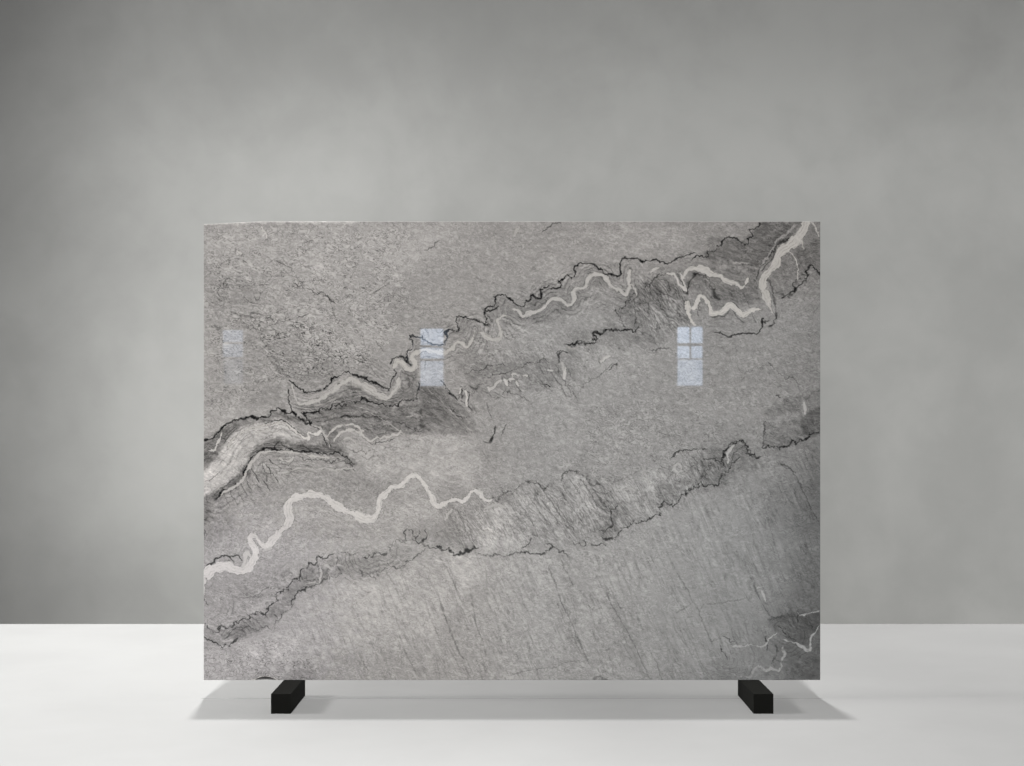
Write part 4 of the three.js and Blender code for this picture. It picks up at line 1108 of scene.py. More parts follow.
def add_white_veins(field, places):
    """Where veins meet, each place takes the values of the stronger one."""
    for strength, cream, line in VEINS:
        found = near(places, line, line[:, 2].max())
        distance, side, further = measure(places[found], line)
        half = further[:, 0] / 2
        inside = (half - distance) / np.clip(half, 0.1, VEIN_EDGE_SOFTNESS) + VEIN_BOOST
        value = min(1.0, strength + VEIN_BOOST) * np.clip(inside, 0.0, 1.0)
        stronger = value > field["white"][found]
        chosen = found[stronger]
        field["white"][chosen] = value[stronger]
        field["across"][chosen] = (side * distance)[stronger]
        field["cream"][chosen] = cream
        field["vein_light"][chosen] = FAINT_VEIN_LIGHT + VEIN_LIGHT_GAIN * strength


def pattern_at(places):
    x, y = places.T
    field = {name: np.zeros(len(places)) for name in FIELD_NAMES}
    field["flow"] = np.full(len(places), FLOW_REACH)
    field["crackle"] += BASE_CRACKLE
    field["light"] = drifting(BASE_LIGHT, LIGHT_DRIFTS, x, y)
    field["warm"] = drifting(1.0, WARM_DRIFTS, x, y)
    field["pink"] = drifting(0.0, PINK_DRIFTS, x, y)
    for add in (add_areas, add_dark_lines, add_layers, add_white_veins):
        add(field, places)
    return field


def pattern_in_strips(places):
    """The pattern at many places, worked out in upright strips so that each one meets few lines."""
    order = np.argsort(places[:, 0])
    field = {}
    for first in range(0, len(order), PLACES_AT_ONCE):
        chosen = order[first:first + PLACES_AT_ONCE]
        for name, values in pattern_at(places[chosen]).items():
            field.setdefault(name, np.zeros(len(places)))[chosen] = values
    return field


# ---------------------------------------------------------------------------------------------
# The slab's mesh
# ---------------------------------------------------------------------------------------------
FRONT_PITCH = 3.3                           # grid spacing on the front, in drawing units
BACK_PITCH = 5.5
ROW_SPACING = 0.866                         # of a grid of even triangles, as a share of its pitch
GRID_SEED = 7
GRID_JITTER = 0.25
LINE_CELL = 0.62                            # one point of the lines at most in each such square
RIM_CLEARANCE = 0.45
SHARP_AREA = 2.6                            # areas with softer edges need no points along them
DRAWING_SIZE = 1024
DEPTHS_AT_ONCE = 4000

RIM_SEED = 41
RIM_STEP = 2.4                              # spacing along the outline, in drawing units
RIM_ROWS = 10
CHIP_COLUMNS = 41
SCOOP_ROWS = 6                              # rows of the rim that go down the chip's hollow
SCOOP_END = 0.6                             # share of the rows after which the rim returns to the back
CHIPPED_FROM = 0.12
CHIP_TAPER = 0.9
ARRIS_ROW = 0.3                             # the second row's inset and depth, as a share of the arris
ROUGH_TOP_LENGTH = 0.66
SAW_ROUGHNESS = 0.00018
DRAWING_DRIFT = (0.45, -0.3)                # how the markings move as they go through the thickness


def drawn(x, z):
    """Places of the drawing for places on the slab."""
    return np.stack([DRAWING_LEFT + (x - SLAB_LEFT) / UNIT_X,
                     DRAWING_TOP + (SLAB_TOP - z) / UNIT_Z], axis=1)


def on_slab(x, y):
    """Places on the slab for places of the drawing."""
    return SLAB_LEFT + (x - DRAWING_LEFT) * UNIT_X, SLAB_TOP - (y - DRAWING_TOP) * UNIT_Z


def top_height(x):
    """The height of the top edge, which drops a little towards the left corner."""
    return SLAB_TOP - TOP_DROP * np.clip(1.0 - (x - SLAB_LEFT) / TOP_DROP_LENGTH, 0.0, 1.0)


def chip_size(x):
    """How much of the chip's full height and depth is left at x."""
    return np.clip(1.0 - ((x - CHIP_X) / CHIP_HALF_LENGTH) ** 2, 0.0, 1.0) ** CHIP_TAPER


def rim_columns():
    """Points round the outline, counter-clockwise from the front, with the direction into the slab."""
    step = RIM_STEP * UNIT_X
    up_count = int((SLAB_TOP - SLAB_BOTTOM) / step)
    chip_steps = np.linspace(CHIP_X - CHIP_HALF_LENGTH, CHIP_X + CHIP_HALF_LENGTH, CHIP_COLUMNS)
    plain = np.arange(SLAB_LEFT, SLAB_RIGHT, step)
    plain = plain[np.abs(plain - CHIP_X) > CHIP_HALF_LENGTH + step * 0.4]
    bottom = np.sort(np.concatenate([plain, chip_steps]))
    top = np.linspace(SLAB_RIGHT, SLAB_LEFT, len(plain))[:-1]
    right = np.linspace(SLAB_BOTTOM, SLAB_TOP, up_count)[:-1]
    left = np.linspace(SLAB_TOP - TOP_DROP, SLAB_BOTTOM, up_count)[:-1]
    x = np.concatenate([bottom, np.full(len(right), SLAB_RIGHT), top, np.full(len(left), SLAB_LEFT)])
    z = np.concatenate([np.full(len(bottom), SLAB_BOTTOM), right, top_height(top), left])
    inward = np.zeros((len(x), 2))
    ends = np.cumsum([0, len(bottom), len(right), len(top), len(left)])
    for first, last, direction in zip(ends[:-1], ends[1:], ((0, 1), (-1, 0), (0, -1), (1, 0))):
        inward[first:last] = direction
    for corner, direction in zip(ends[:-1], ((1, 1), (-1, 1), (-1, -1), (1, -1))):
        inward[corner] = direction
    return x, z, inward


def uneven_arris(source, x, z):
    """The width of the arris along the outline: nibbled, and rougher along the left part of the top."""
    count = len(x)
    wander = np.convolve(source.normal(0.0, 1.0, count + 8), np.ones(3) / 3, "same")[:count]
    nibble = np.clip(source.normal(-1.2, 1.0, count), 0.0, 2.0)
    arris = ARRIS * (1.0 + 0.25 * np.clip(wander, -1.5, 1.5) + 0.5 * nibble)
    rough_top = (z > SLAB_TOP - TOP_DROP - 1e-6) & (x < SLAB_LEFT + ROUGH_TOP_LENGTH)
    arris[rough_top] *= 1.35 + 0.8 * np.abs(wander[rough_top])
    return arris


def plain_row(row):
    """A row's inset, as a share of the arris, and its depth, where nothing is chipped."""
    shallow = ARRIS_ROW * ARRIS
    if row in (0, RIM_ROWS):
        return 1.0, 0.0 if row == 0 else SLAB_THICKNESS
    if row in (1, RIM_ROWS - 1):
        return ARRIS_ROW, shallow if row == 1 else SLAB_THICKNESS - shallow
    return 0.0, ARRIS + (row - 2) / (RIM_ROWS - 4) * (SLAB_THICKNESS - 2 * ARRIS)


def rim_rows(x, z, inward):
    """Rows of points across the thickness: (place on the face plane, depth) for each outline point."""
    source = np.random.default_rng(RIM_SEED)
    arris = uneven_arris(source, x, z)
    size = np.where(z < SLAB_BOTTOM + 1e-6, chip_size(x), 0.0)
    chipped = size > CHIPPED_FROM
    ripple = 1.0 + 0.04 * np.sin(x * 900.0)
    rows = []
    for row in range(RIM_ROWS + 1):
        arris_share, plain_depth = plain_row(row)
        inset = arris_share * (arris if row < RIM_ROWS / 2 else np.full(len(x), ARRIS))
        if 2 <= row <= RIM_ROWS - 2:
            inset = inset + np.abs(source.normal(0.0, SAW_ROUGHNESS, len(x)))
        turn = min(1.0, row / SCOOP_ROWS) * math.pi / 2
        back_again = max(0.0, row / RIM_ROWS - SCOOP_END) / (1.0 - SCOOP_END)
        scoop_height = np.maximum(CHIP_HEIGHT * size * ripple, arris_share * ARRIS) * math.cos(turn)
        scoop_depth = CHIP_DEPTH * size * math.sin(turn) + back_again * (SLAB_THICKNESS - CHIP_DEPTH * size)
        scoop_inset = scoop_height if row <= SCOOP_ROWS else arris_share * ARRIS
        inset = np.where(chipped, scoop_inset, inset)
        depth = np.where(chipped, scoop_depth, plain_depth)
        rows.append((x + inward[:, 0] * inset, z + inward[:, 1] * inset, depth))
    return rows


def line_places():
    """Places along the pattern's lines and their edges, so that the mesh can carry them sharply."""
    chosen = []
    for _, line in SUTURES + JOINTS:
        side, half = side_vectors(line), line[:, 2:3] / 2
        chosen += [line[:, :2] + side * half * share for share in (0.0, 1.0, -1.0)]
    for _, softness, line in EDGES:
        if softness < SHARP_AREA:
            side = side_vectors(line)
            chosen += [line[::2, :2] + side[::2] * softness * share for share in (1.0, 0.0, -1.0)]
    for _, _, one, other in STRIPS:
        chosen += [line + side_vectors(line) * offset for line in (one, other) for offset in (0.6, -0.6)]
    for _, _, line in VEINS:
        side, half = side_vectors(line), line[:, 2:3] / 2
        core = np.maximum(half - 1.0, 0.0)
        offsets = (0.0 * half, half + 0.3, -half - 0.3, core, -core)
        chosen += [line[:, :2] + side * offset for offset in offsets]
    lines = np.concatenate(chosen)
    _, first = np.unique(np.floor(lines / LINE_CELL).astype(int), axis=0, return_index=True)
    return lines[np.sort(first)]


def face_places(ring, pitch, lines_too):
    """Places of the drawing for one face: lines first, then a jittered grid over what they leave free."""
    source = np.random.default_rng(GRID_SEED)
    grid_x, grid_y = np.meshgrid(np.arange(DRAWING_LEFT, DRAWING_RIGHT, pitch),
                                 np.arange(DRAWING_TOP, DRAWING_BOTTOM, pitch * ROW_SPACING))
    grid_x = grid_x + (np.arange(len(grid_x)) % 2)[:, None] * pitch / 2
    grid = np.stack([grid_x.ravel(), grid_y.ravel()], axis=1)
    grid += source.uniform(-GRID_JITTER, GRID_JITTER, grid.shape) * pitch
    if lines_too:
        lines = line_places()
        taken = np.zeros((DRAWING_SIZE, DRAWING_SIZE), bool)
        marks = np.floor(lines).astype(int)
        for dx in (-1, 0, 1):
            for dy in (-1, 0, 1):
                beside = np.clip(marks + (dx, dy), 0, DRAWING_SIZE - 1)
                taken[beside[:, 0], beside[:, 1]] = True
        grid = grid[~taken[tuple(np.floor(grid).astype(int).T)]]
        grid = np.concatenate([lines, grid])
    depths = [signed_depth(grid[i:i + DEPTHS_AT_ONCE], ring) for i in range(0, len(grid), DEPTHS_AT_ONCE)]
    return grid[np.concatenate(depths) > RIM_CLEARANCE]


def triangulate(ring, places):
    """Triangles over the ring's inside, through the places. The ring's points come first."""
    points = np.concatenate([ring, places])
    edges = [(i, (i + 1) % len(ring)) for i in range(len(ring))]
    result = delaunay_2d_cdt([Vector(p) for p in points], edges, [], 1, 1e-6, True)
    corners = np.array([tuple(v) for v in result[0]])
    first_use = {}
    for index, sources in enumerate(result[3]):
        for original in sources:
            first_use[original] = index
    ring_at = [first_use[i] for i in range(len(ring))]
    triangles = np.array(result[2])
    on_ring = np.nonzero(np.isin(triangles, ring_at).all(axis=1))[0]
    outside = on_ring[signed_depth(corners[triangles[on_ring]].mean(axis=1), ring) < 0.0]
    return corners, np.delete(triangles, outside, axis=0), ring_at


def slab_geometry():
    """The slab's corners and faces, where the rim's faces start, and how many of them make one round."""
    x, z, inward = rim_columns()
    rows = rim_rows(x, z, inward)
    columns = len(x)
    corners, faces, rings = [], [], {}
    start = 0
    for row, pitch, face_depth in ((0, FRONT_PITCH, SLAB_FRONT), (RIM_ROWS, BACK_PITCH, SLAB_BACK)):
        ring = drawn(rows[row][0], rows[row][1])
        flat, triangles, ring_at = triangulate(ring, face_places(ring, pitch, row == 0))
        first, second, third = flat[triangles].transpose(1, 0, 2)
        turned = (np.cross(second - first, third - first) > 0) == (row == 0)
        triangles[turned] = triangles[turned][:, ::-1]
        place_x, place_z = on_slab(flat[:, 0], flat[:, 1])
        corners.append(np.stack([place_x, np.full(len(flat), face_depth), place_z], axis=1))
        faces += (triangles + start).tolist()
        rings[row] = [start + i for i in ring_at]
        start += len(flat)
    for row in range(1, RIM_ROWS):
        row_x, row_z, depth = rows[row]
        corners.append(np.stack([row_x, SLAB_FRONT + depth, row_z], axis=1))
        rings[row] = list(range(start, start + columns))
        start += columns
    rim_start = len(faces)
    for row in range(RIM_ROWS):
        for column in range(columns):
            after = (column + 1) % columns
            faces.append((rings[row][column], rings[row + 1][column],
                          rings[row + 1][after], rings[row][after]))
    return np.concatenate(corners), faces, rim_start, columns


def lay_on_pattern(mesh, corners):
    """Puts the pattern's values on the mesh's corners, and where it is polished (1) and broken (1)."""
    depth = corners[:, 1] - SLAB_FRONT
    places = drawn(corners[:, 0], corners[:, 2]) + depth[:, None] / UNIT_X * np.array([DRAWING_DRIFT])
    field = pattern_in_strips(places)
    field["finish"] = (depth < ARRIS * 0.5).astype(float)
    low = smooth(CHIP_HEIGHT + 0.002, CHIP_HEIGHT, corners[:, 2] - SLAB_BOTTOM)
    field["broken"] = low * smooth(0.05, 0.3, chip_size(corners[:, 0])) * (1.0 - field["finish"])
    for name, values in field.items():
        mesh.attributes.new(name, "FLOAT", "POINT").data.foreach_set("value", values.astype(np.float32))


def lay_out_bake_map(mesh, corners, rim_start, columns):
    """The front gets the upper part of the map, the back the lower part and the rim two thin strips."""
    layer = mesh.uv_layers.new(name="OFBake")
    loops = np.zeros(len(mesh.loops), int)
    mesh.loops.foreach_get("vertex_index", loops)
    at = corners[loops]
    across = (at[:, 0] - SLAB_LEFT) / (SLAB_RIGHT - SLAB_LEFT)
    up = (at[:, 2] - SLAB_BOTTOM) / (SLAB_TOP - SLAB_BOTTOM)
    front = at[:, 1] < SLAB_FRONT + 1e-7
    margin, width = 0.004, 0.992
    height = np.where(front, 0.392 + 0.604 * up, 0.056 + 0.328 * up)
    uv = np.stack([margin + width * across, height], axis=1)
    starts = np.zeros(len(mesh.polygons), int)
    mesh.polygons.foreach_get("loop_start", starts)
    half = (columns + 1) // 2
    strip_low, strip_height, strip_pitch = 0.005, 0.018, 0.024
    for face in range(rim_start, len(mesh.polygons)):
        row, column = divmod(face - rim_start, columns)
        strip, place = divmod(column, half)
        for corner, (dx, dy) in enumerate(((0, 0), (0, 1), (1, 1), (1, 0))):
            low = strip_low + strip * strip_pitch
            uv[starts[face] + corner] = (margin + width * (place + dx) / half,
                                         low + strip_height * (row + dy) / RIM_ROWS)
    layer.data.foreach_set("uv", uv.astype(np.float32).ravel())


def build_slab():
    corners, faces, rim_start, columns = slab_geometry()
    mesh = bpy.data.meshes.new("polished_slab")
    mesh.from_pydata(corners.tolist(), [], faces)
    mesh.update()
    lay_on_pattern(mesh, corners)
    lay_out_bake_map(mesh, corners, rim_start, columns)
    mesh.materials.append(marble())
    return placed("polished_slab", mesh)


# ---------------------------------------------------------------------------------------------
# Materials
# ---------------------------------------------------------------------------------------------
RIDGED = "RIDGED_MULTIFRACTAL"
SHADER_INPUTS = {"roughness": "Roughness", "specular": "Specular IOR Level", "ior": "IOR"}


class Graph:
    """A material's node tree, with short calls for the nodes that it uses."""

    def __init__(self, name):
        self.material = bpy.data.materials.new(name)
        self.material.use_nodes = True
        self.tree = self.material.node_tree
        self.shader = self.tree.nodes["Principled BSDF"]
        self.place = self.tree.nodes.new("ShaderNodeTexCoord").outputs["Object"]

    def put(self, socket, value):
        if isinstance(value, bpy.types.NodeSocket):
            self.tree.links.new(value, socket)
        else:
            socket.default_value = value

    def node(self, kind, settings=(), inputs=()):
        """A new node with its settings and its inputs, which are given by name or number."""
        node = self.tree.nodes.new("ShaderNode" + kind)
        for name, value in settings:
            setattr(node, name, value)
        for name, value in inputs:
            self.put(node.inputs[name], value)
        return node

    def math(self, operation, *values):
        return self.node("Math", [("operation", operation)], enumerate(values)).outputs[0]

    def times(self, first, *others):
        """The product of the values."""
        for value in others:
            first = self.math("MULTIPLY", first, value)
        return first

    def plus(self, start, weight, *values):
        """The start plus the weight times the product of the values."""
        return self.math("MULTIPLY_ADD", self.times(*values), weight, start)

    def axes(self):
        return self.node("SeparateXYZ", inputs=[(0, self.place)]).outputs[:3]

    def facing_up(self):
        """1 on level faces that look up, 0 on upright faces."""
        normal = self.node("NewGeometry").outputs["Normal"]
        return self.node("SeparateXYZ", inputs=[(0, normal)]).outputs[2]

    def attribute(self, name):
        return self.node("Attribute", [("attribute_name", name)]).outputs["Fac"]

    def turned(self, degrees, stretch, offset=(0.0, 0.0, 0.0)):
        """The place on the object, turned about the face's own normal, then stretched."""
        rotation = (0.0, math.radians(degrees), 0.0)
        turn = self.node("Mapping", inputs=[("Vector", self.place), ("Rotation", rotation)])
        return self.node("Mapping", inputs=[("Vector", turn.outputs[0]), ("Scale", stretch),
                                            ("Location", offset)]).outputs[0]

    def noise(self, scale, detail=3.0, roughness=0.55, distortion=0.0, vector=None, kind="FBM"):
        """Noise from about 0 to 1."""
        inputs = [("Vector", self.place if vector is None else vector), ("Scale", scale),
                  ("Detail", detail), ("Roughness", roughness), ("Distortion", distortion)]
        if kind == RIDGED:
            inputs.append(("Offset", 1.0))
        return self.node("TexNoise", [("noise_type", kind)], inputs).outputs["Fac"]

    def swing(self, *noise):
        """Noise from about -0.5 to 0.5."""
        return self.math("SUBTRACT", self.noise(*noise), 0.5)

    def step(self, value, low, high, start=0.0, end=1.0):
        """A smooth step from start, where the value is low, to end, where it is high."""
        inputs = [("Value", value), ("From Min", low), ("From Max", high),
                  ("To Min", start), ("To Max", end)]
        return self.node("MapRange", [("interpolation_type", "SMOOTHSTEP")], inputs).outputs["Result"]

    def mix(self, share, a, b):
        """A number between a and b."""
        return self.node("Mix", inputs=[(0, share), (2, a), (3, b)]).outputs[0]

    def blend(self, share, a, b, way="MIX"):
        """A colour between a and b."""
        settings = [("data_type", "RGBA"), ("blend_type", way)]
        return self.node("Mix", settings, [(0, share), (6, a), (7, b)]).outputs[2]

    def lines(self, value, levels, thickness):
        """Thin lines where a value crosses even levels."""
        phase = self.math("FRACT", self.math("MULTIPLY", value, levels))
        off = self.math("ABSOLUTE", self.math("SUBTRACT", phase, 0.5))
        return self.step(off, 0.0, thickness, 1.0, 0.0)

    def creases(self, degrees, stretch, detail, distortion):
        """A web of creases: how near each place is to one, thin lines along them and the cells between."""
        place = self.turned(degrees, stretch)
        web = self.noise(1.0, detail, 0.6, distortion, place, RIDGED)
        return self.math("SUBTRACT", web, 1.05), self.step(web, 1.30, 1.62), self.step(web, 0.95, 0.45)

    def set_all_over(self, **numbers):
        """Sets numbers of the shader that are the same all over the surface."""
        for name, value in numbers.items():
            self.shader.inputs[SHADER_INPUTS[name]].default_value = value

    def bump(self, height, strength, distance):
        inputs = [("Strength", strength), ("Distance", distance), ("Height", height)]
        self.put(self.shader.inputs["Normal"], self.node("Bump", inputs=inputs).outputs["Normal"])


WARM_STONE = (1.052, 1.0, 0.957, 1.0)
COOL_STONE = (0.992, 1.0, 0.992, 1.0)
CREAM_STONE = (1.06, 1.0, 0.915, 1.0)
PINK_STONE = (1.045, 0.990, 0.985, 1.0)
DARK_LINE_LIGHT = 0.05
POLISH, SAWN_ROUGHNESS = 0.04, 0.62
DISPLAY_POWER = 2.2                         # from lightness as it is seen to the shader's colour
RELIEF_HEIGHT = 0.0006
GRAIN_TURN = -14.0                          # degrees that the stone's grain slopes by


def with_tones(g, light):
    """Dark and pale areas, uneven inside."""
    uneven = g.noise(1.0, 4.0, 0.65, 0.6, g.turned(-24.0, (16.0, 40.0, 60.0)))
    return g.math("MULTIPLY_ADD", g.attribute("shade"), g.step(uneven, 0.25, 0.70, 0.35, 1.35), light)


def with_layers(g, light, wander):
    """Layers that follow the nearest line: dark ones, pale ones and fine ones."""
    layered = g.attribute("layered")
    ply = g.plus(g.attribute("flow"), 7.0, wander)
    ply = g.plus(ply, 1.6, g.swing(80.0, 2.0))
    for pace, shift, thickness, patches, low, high, weight in (
            (0.24, 0.0, 0.24, (15.0, 2.0), 0.38, 0.56, -0.19),
            (0.17, 0.37, 0.22, (14.0, 2.0, 0.5, 0.3), 0.40, 0.56, 0.12),
            (0.34, 0.2, 0.30, (24.0, 2.0), 0.35, 0.60, -0.12)):
        lines = g.lines(g.math("MULTIPLY_ADD", ply, pace, shift), 1.0, thickness)
        light = g.plus(light, weight, lines, g.step(g.noise(*patches), low, high), layered)
    return light


def with_creases(g, light, liveliness):
    """Leathery creases, which open into cracks where the crackle is strong."""
    crackle = g.attribute("crackle")
    nearness, cracks, cells = g.creases(GRAIN_TURN, (44.0, 70.0, 74.0), 3.0, 1.3)
    patches = g.noise(1.0, 3.0, 0.6, 0.5, g.turned(-12.0, (20.0, 30.0, 32.0)))
    patches = g.step(patches, 0.40, 0.60, 0.15, 1.0)
    crease_depth = g.times(g.math("MULTIPLY_ADD", crackle, 0.046, 0.037), liveliness)
    light = g.plus(light, -1.0, nearness, crease_depth)
    light = g.plus(light, -0.38, cracks, patches, crackle)
    return g.plus(light, 1.0, cells, patches, g.math("MULTIPLY_ADD", crackle, 0.04, 0.02))


def with_flames(g, light):
    """Slanting flames."""
    hatch = g.attribute("hatch")
    nearness, lines, cells = g.creases(-55.0, (9.0, 30.0, 34.0), 2.0, 3.0)
    billows = g.swing(1.0, 3.0, 0.6, 1.0, g.turned(-55.0, (8.0, 18.0, 20.0)))
    for value, weight in ((nearness, -0.065), (lines, -0.09), (cells, 0.035), (billows, 0.34)):
        light = g.plus(light, weight, value, hatch)
    return light


def with_streaks(g, light):
    """Long straight streaks, broken along their length."""
    streaks = g.swing(1.0, 4.0, 0.62, 0.25, g.turned(-67.0, (5.0, 40.0, 62.0)))
    nearness, lines, _ = g.creases(-66.0, (10.0, 46.0, 52.0), 3.0, 0.5)
    strength = g.times(g.attribute("streak"), g.step(g.noise(9.0, 2.0), 0.35, 0.65, 0.2, 1.0))
    for value, weight in ((streaks, 0.19), (nearness, -0.040), (lines, -0.04)):
        light = g.plus(light, weight, value, strength)
    return light


def with_dark_lines(g, light, wander, finish):
    """Faint joints and black sutures, and how black each place is. Sawn faces show soft dark seams."""
    broken = g.step(g.noise(55.0, 2.0), 0.34, 0.60, 0.3, 1.0)
    light = g.plus(light, -0.37, g.attribute("joint"), broken, finish)
    uneven = g.step(g.noise(70.0, 2.0), 0.30, 0.58, 0.60, 1.0)
    core = g.times(g.step(g.attribute("dark"), 0.05, 0.95), uneven, finish)
    light = g.mix(core, light, DARK_LINE_LIGHT)
    seams = g.step(g.plus(g.attribute("flow"), 6.0, wander), 6.5, 0.5)
    return g.plus(light, -0.17, seams, g.mix(finish, 1.0, 0.0)), core


def with_white_veins(g, light, mottle, grain):
    """White veins with growth lines along them, and how white each place is."""
    white = g.attribute("white")
    across = g.plus(g.attribute("across"), 3.5, g.swing(24.0, 3.0))
    growth = g.times(g.lines(g.math("MULTIPLY", across, 0.36), 1.0, 0.26),
                     g.step(g.noise(40.0, 2.0), 0.40, 0.62))
    vein_light = g.attribute("vein_light")
    for value, weight in ((growth, -0.10), (mottle, 0.12), (grain, 0.14)):
        vein_light = g.plus(vein_light, weight, value)
    edge = g.plus(white, 1.1, g.swing(60.0, 3.0, 0.6))
    body = g.times(g.step(edge, 0.10, 0.70), g.step(white, 0.0, 0.7))
    return g.mix(body, light, vein_light), body


def with_sawn_faces(g, light, grain, finish):
    """Sawn sides and back are a little paler. The top is darker, painted shade that holds down the overhead
    light on it, and the chip's hollow is darker under its rim, a painted shadow.
    """
    light = g.mix(finish, g.math("MULTIPLY_ADD", light, 0.9, 0.07), light)
    # painted shade on faces that look up
    light = g.times(light, g.step(g.facing_up(), 0.80, 0.95, 1.0, 0.66))
    height = g.axes()[2]
    # painted shadow in the chip's hollow, darkest toward its rim
    painted_chip_shade = g.step(height, SLAB_BOTTOM + 0.001, SLAB_BOTTOM + 0.010, 0.48, 0.22)
    return g.mix(g.attribute("broken"), light, g.plus(painted_chip_shade, 0.4, grain))


def stone_colour(g, light, body):
    """Grey of that lightness, tinted warm, pinkish or, in the veins, cream."""
    value = g.math("POWER", g.math("MAXIMUM", light, 0.02), DISPLAY_POWER)
    hue = g.blend(g.attribute("warm"), COOL_STONE, WARM_STONE)
    pinkness = g.math("MULTIPLY_ADD", g.noise(28.0, 2.0), 0.8, g.attribute("pink"))
    hue = g.blend(g.step(pinkness, 0.40, 1.1), hue, PINK_STONE)
    hue = g.blend(g.times(body, g.attribute("cream")), hue, CREAM_STONE)
    grey = g.node("CombineColor", inputs=[(0, value), (1, value), (2, value)])
    return g.blend(1.0, grey.outputs[0], hue, "MULTIPLY")


def marble():
    """Polished grey marble, drawn by the values on the mesh. Lightness is worked out as it is seen."""
    g = Graph("grey_marble")
    finish = g.attribute("finish")
    mottle = g.swing(1.0, 3.0, 0.55, 0.6, g.turned(GRAIN_TURN, (30.0, 50.0, 52.0), (3.0, 0.0, 0.0)))
    grain = g.swing(215.0, 2.0, 0.7, 0.3)
    wander = g.swing(20.0, 3.0, 0.6)
    liveliness = g.math("MULTIPLY_ADD", g.attribute("calm"), -0.55, 1.0)
    light = g.plus(g.attribute("light"), 0.09, g.swing(6.0, 3.0))
    light = g.plus(light, 0.18, mottle, liveliness)
    light = g.plus(light, 0.12, grain, liveliness)
    light = with_tones(g, light)
    light = with_layers(g, light, wander)
    light = with_creases(g, light, liveliness)
    light = with_flames(g, light)
    light = with_streaks(g, light)
    light, core = with_dark_lines(g, light, wander, finish)
    light, body = with_white_veins(g, light, mottle, grain)
    light = with_sawn_faces(g, light, grain, finish)
    g.put(g.shader.inputs["Base Color"], stone_colour(g, light, body))
    g.put(g.shader.inputs["Roughness"], g.mix(finish, SAWN_ROUGHNESS, g.plus(POLISH, 0.16, core)))
    g.set_all_over(ior=1.55)
    saw = g.noise(1.0, 2.0, 0.5, 0.0, g.turned(8.0, (14.0, 300.0, 420.0)))
    sawn_relief = g.math("ADD", g.math("MULTIPLY", saw, 0.6), g.math("MULTIPLY", grain, 1.2))
    g.bump(g.mix(finish, sawn_relief, g.math("MULTIPLY", core, -0.10)), 0.5, RELIEF_HEIGHT)
    return g.material


BLACK_PAINT = (0.0085, 0.0085, 0.0076, 1.0)
DUSTY_PAINT = (0.014, 0.014, 0.0125, 1.0)
SCUFFED_PAINT = (0.045, 0.043, 0.038, 1.0)


def black_paint():
    """Painted timber whose grain runs along the block, with dust and a few scuffs."""
    g = Graph("black_painted_wood")
    grain = g.noise(1.0, 4.0, 0.6, 0.6, g.turned(0.0, (160.0, 10.0, 160.0)))
    dust = g.step(g.noise(60.0, 4.0, 0.7), 0.52, 0.75)
    scuffs = g.lines(g.noise(1.0, 2.0, 0.5, 0.4, g.turned(20.0, (30.0, 60.0, 30.0))), 2.0, 0.03)
    scuffed = g.times(scuffs, g.step(g.noise(25.0, 2.0), 0.55, 0.7))
    colour = g.blend(g.math("MULTIPLY", dust, 0.35), BLACK_PAINT, DUSTY_PAINT)
    colour = g.blend(g.math("MULTIPLY", scuffed, 0.5), colour, SCUFFED_PAINT)
    g.put(g.shader.inputs["Base Color"], colour)
    g.put(g.shader.inputs["Roughness"], g.math("MULTIPLY_ADD", dust, 0.15, 0.72))
    g.set_all_over(specular=0.05, ior=1.3)
    g.bump(g.plus(grain, -0.6, scuffed), 0.35, RELIEF_HEIGHT)
    return g.material


FLOOR_COLOUR, FLOOR_CLOUDS = (0.247, 0.246, 0.241), 0.03
WALL_COLOUR, WALL_CLOUDS = (0.40, 0.40, 0.385), 0.08
BLACK = (0.0, 0.0, 0.0, 1.0)


def concrete(g, base, spread, painted_shade):
    """Pale concrete or plaster with faint clouds, its colour multiplied by painted shade, a factor from 0
    (black) to 1 (unchanged).
    """
    clouds = g.math("MULTIPLY_ADD", g.noise(4.5, 4.0, 0.6, 0.4), 0.35, g.noise(1.0, 4.0, 0.55, 0.4))
    low = tuple(c * (1.0 - spread) for c in base) + (1.0,)
    high = tuple(c * (1.0 + spread) for c in base) + (1.0,)
    colour = g.blend(g.step(clouds, 0.45, 0.90), low, high)
    # painted shade darkens the colour here
    g.put(g.shader.inputs["Base Color"], g.blend(painted_shade, BLACK, colour))
    g.set_all_over(roughness=0.8)
    return g.material


def floor_paint():
    """It carries painted shade: darker toward the right, a painted shadow round the slab and a thin painted
    shadow along the line under the slab.
    """
    g = Graph("pale_floor")
    x, y, _ = g.axes()
    off_line = g.math("ABSOLUTE", g.math("SUBTRACT", y, (SLAB_FRONT + SLAB_BACK) / 2 + 0.001))
    beside = g.step(g.math("ABSOLUTE", x), SLAB_RIGHT, SLAB_RIGHT + 0.02)
    # painted shadow: the thin strip under the slab, only as long as the slab
    line = g.math("MAXIMUM", g.step(off_line, 0.0066, 0.0098), beside)
    off_middle = g.math("ABSOLUTE", g.math("ADD", x, 0.10))
    # painted shadow: a soft darker patch on both sides of the slab
    painted_shadow_under_slab = g.times(g.step(off_line, 1.8, 0.20), g.step(off_middle, 1.25, 0.45))
    # painted shade: darker toward the right, times the painted shadows above
    painted_shade = g.times(g.step(x, -0.7, 2.0, 1.0, 0.62), g.plus(1.0, -0.22, painted_shadow_under_slab),
                   g.step(line, 0.0, 1.0, 0.66, 1.0))
    g.set_all_over(specular=0.15)
    return concrete(g, FLOOR_COLOUR, FLOOR_CLOUDS, painted_shade)


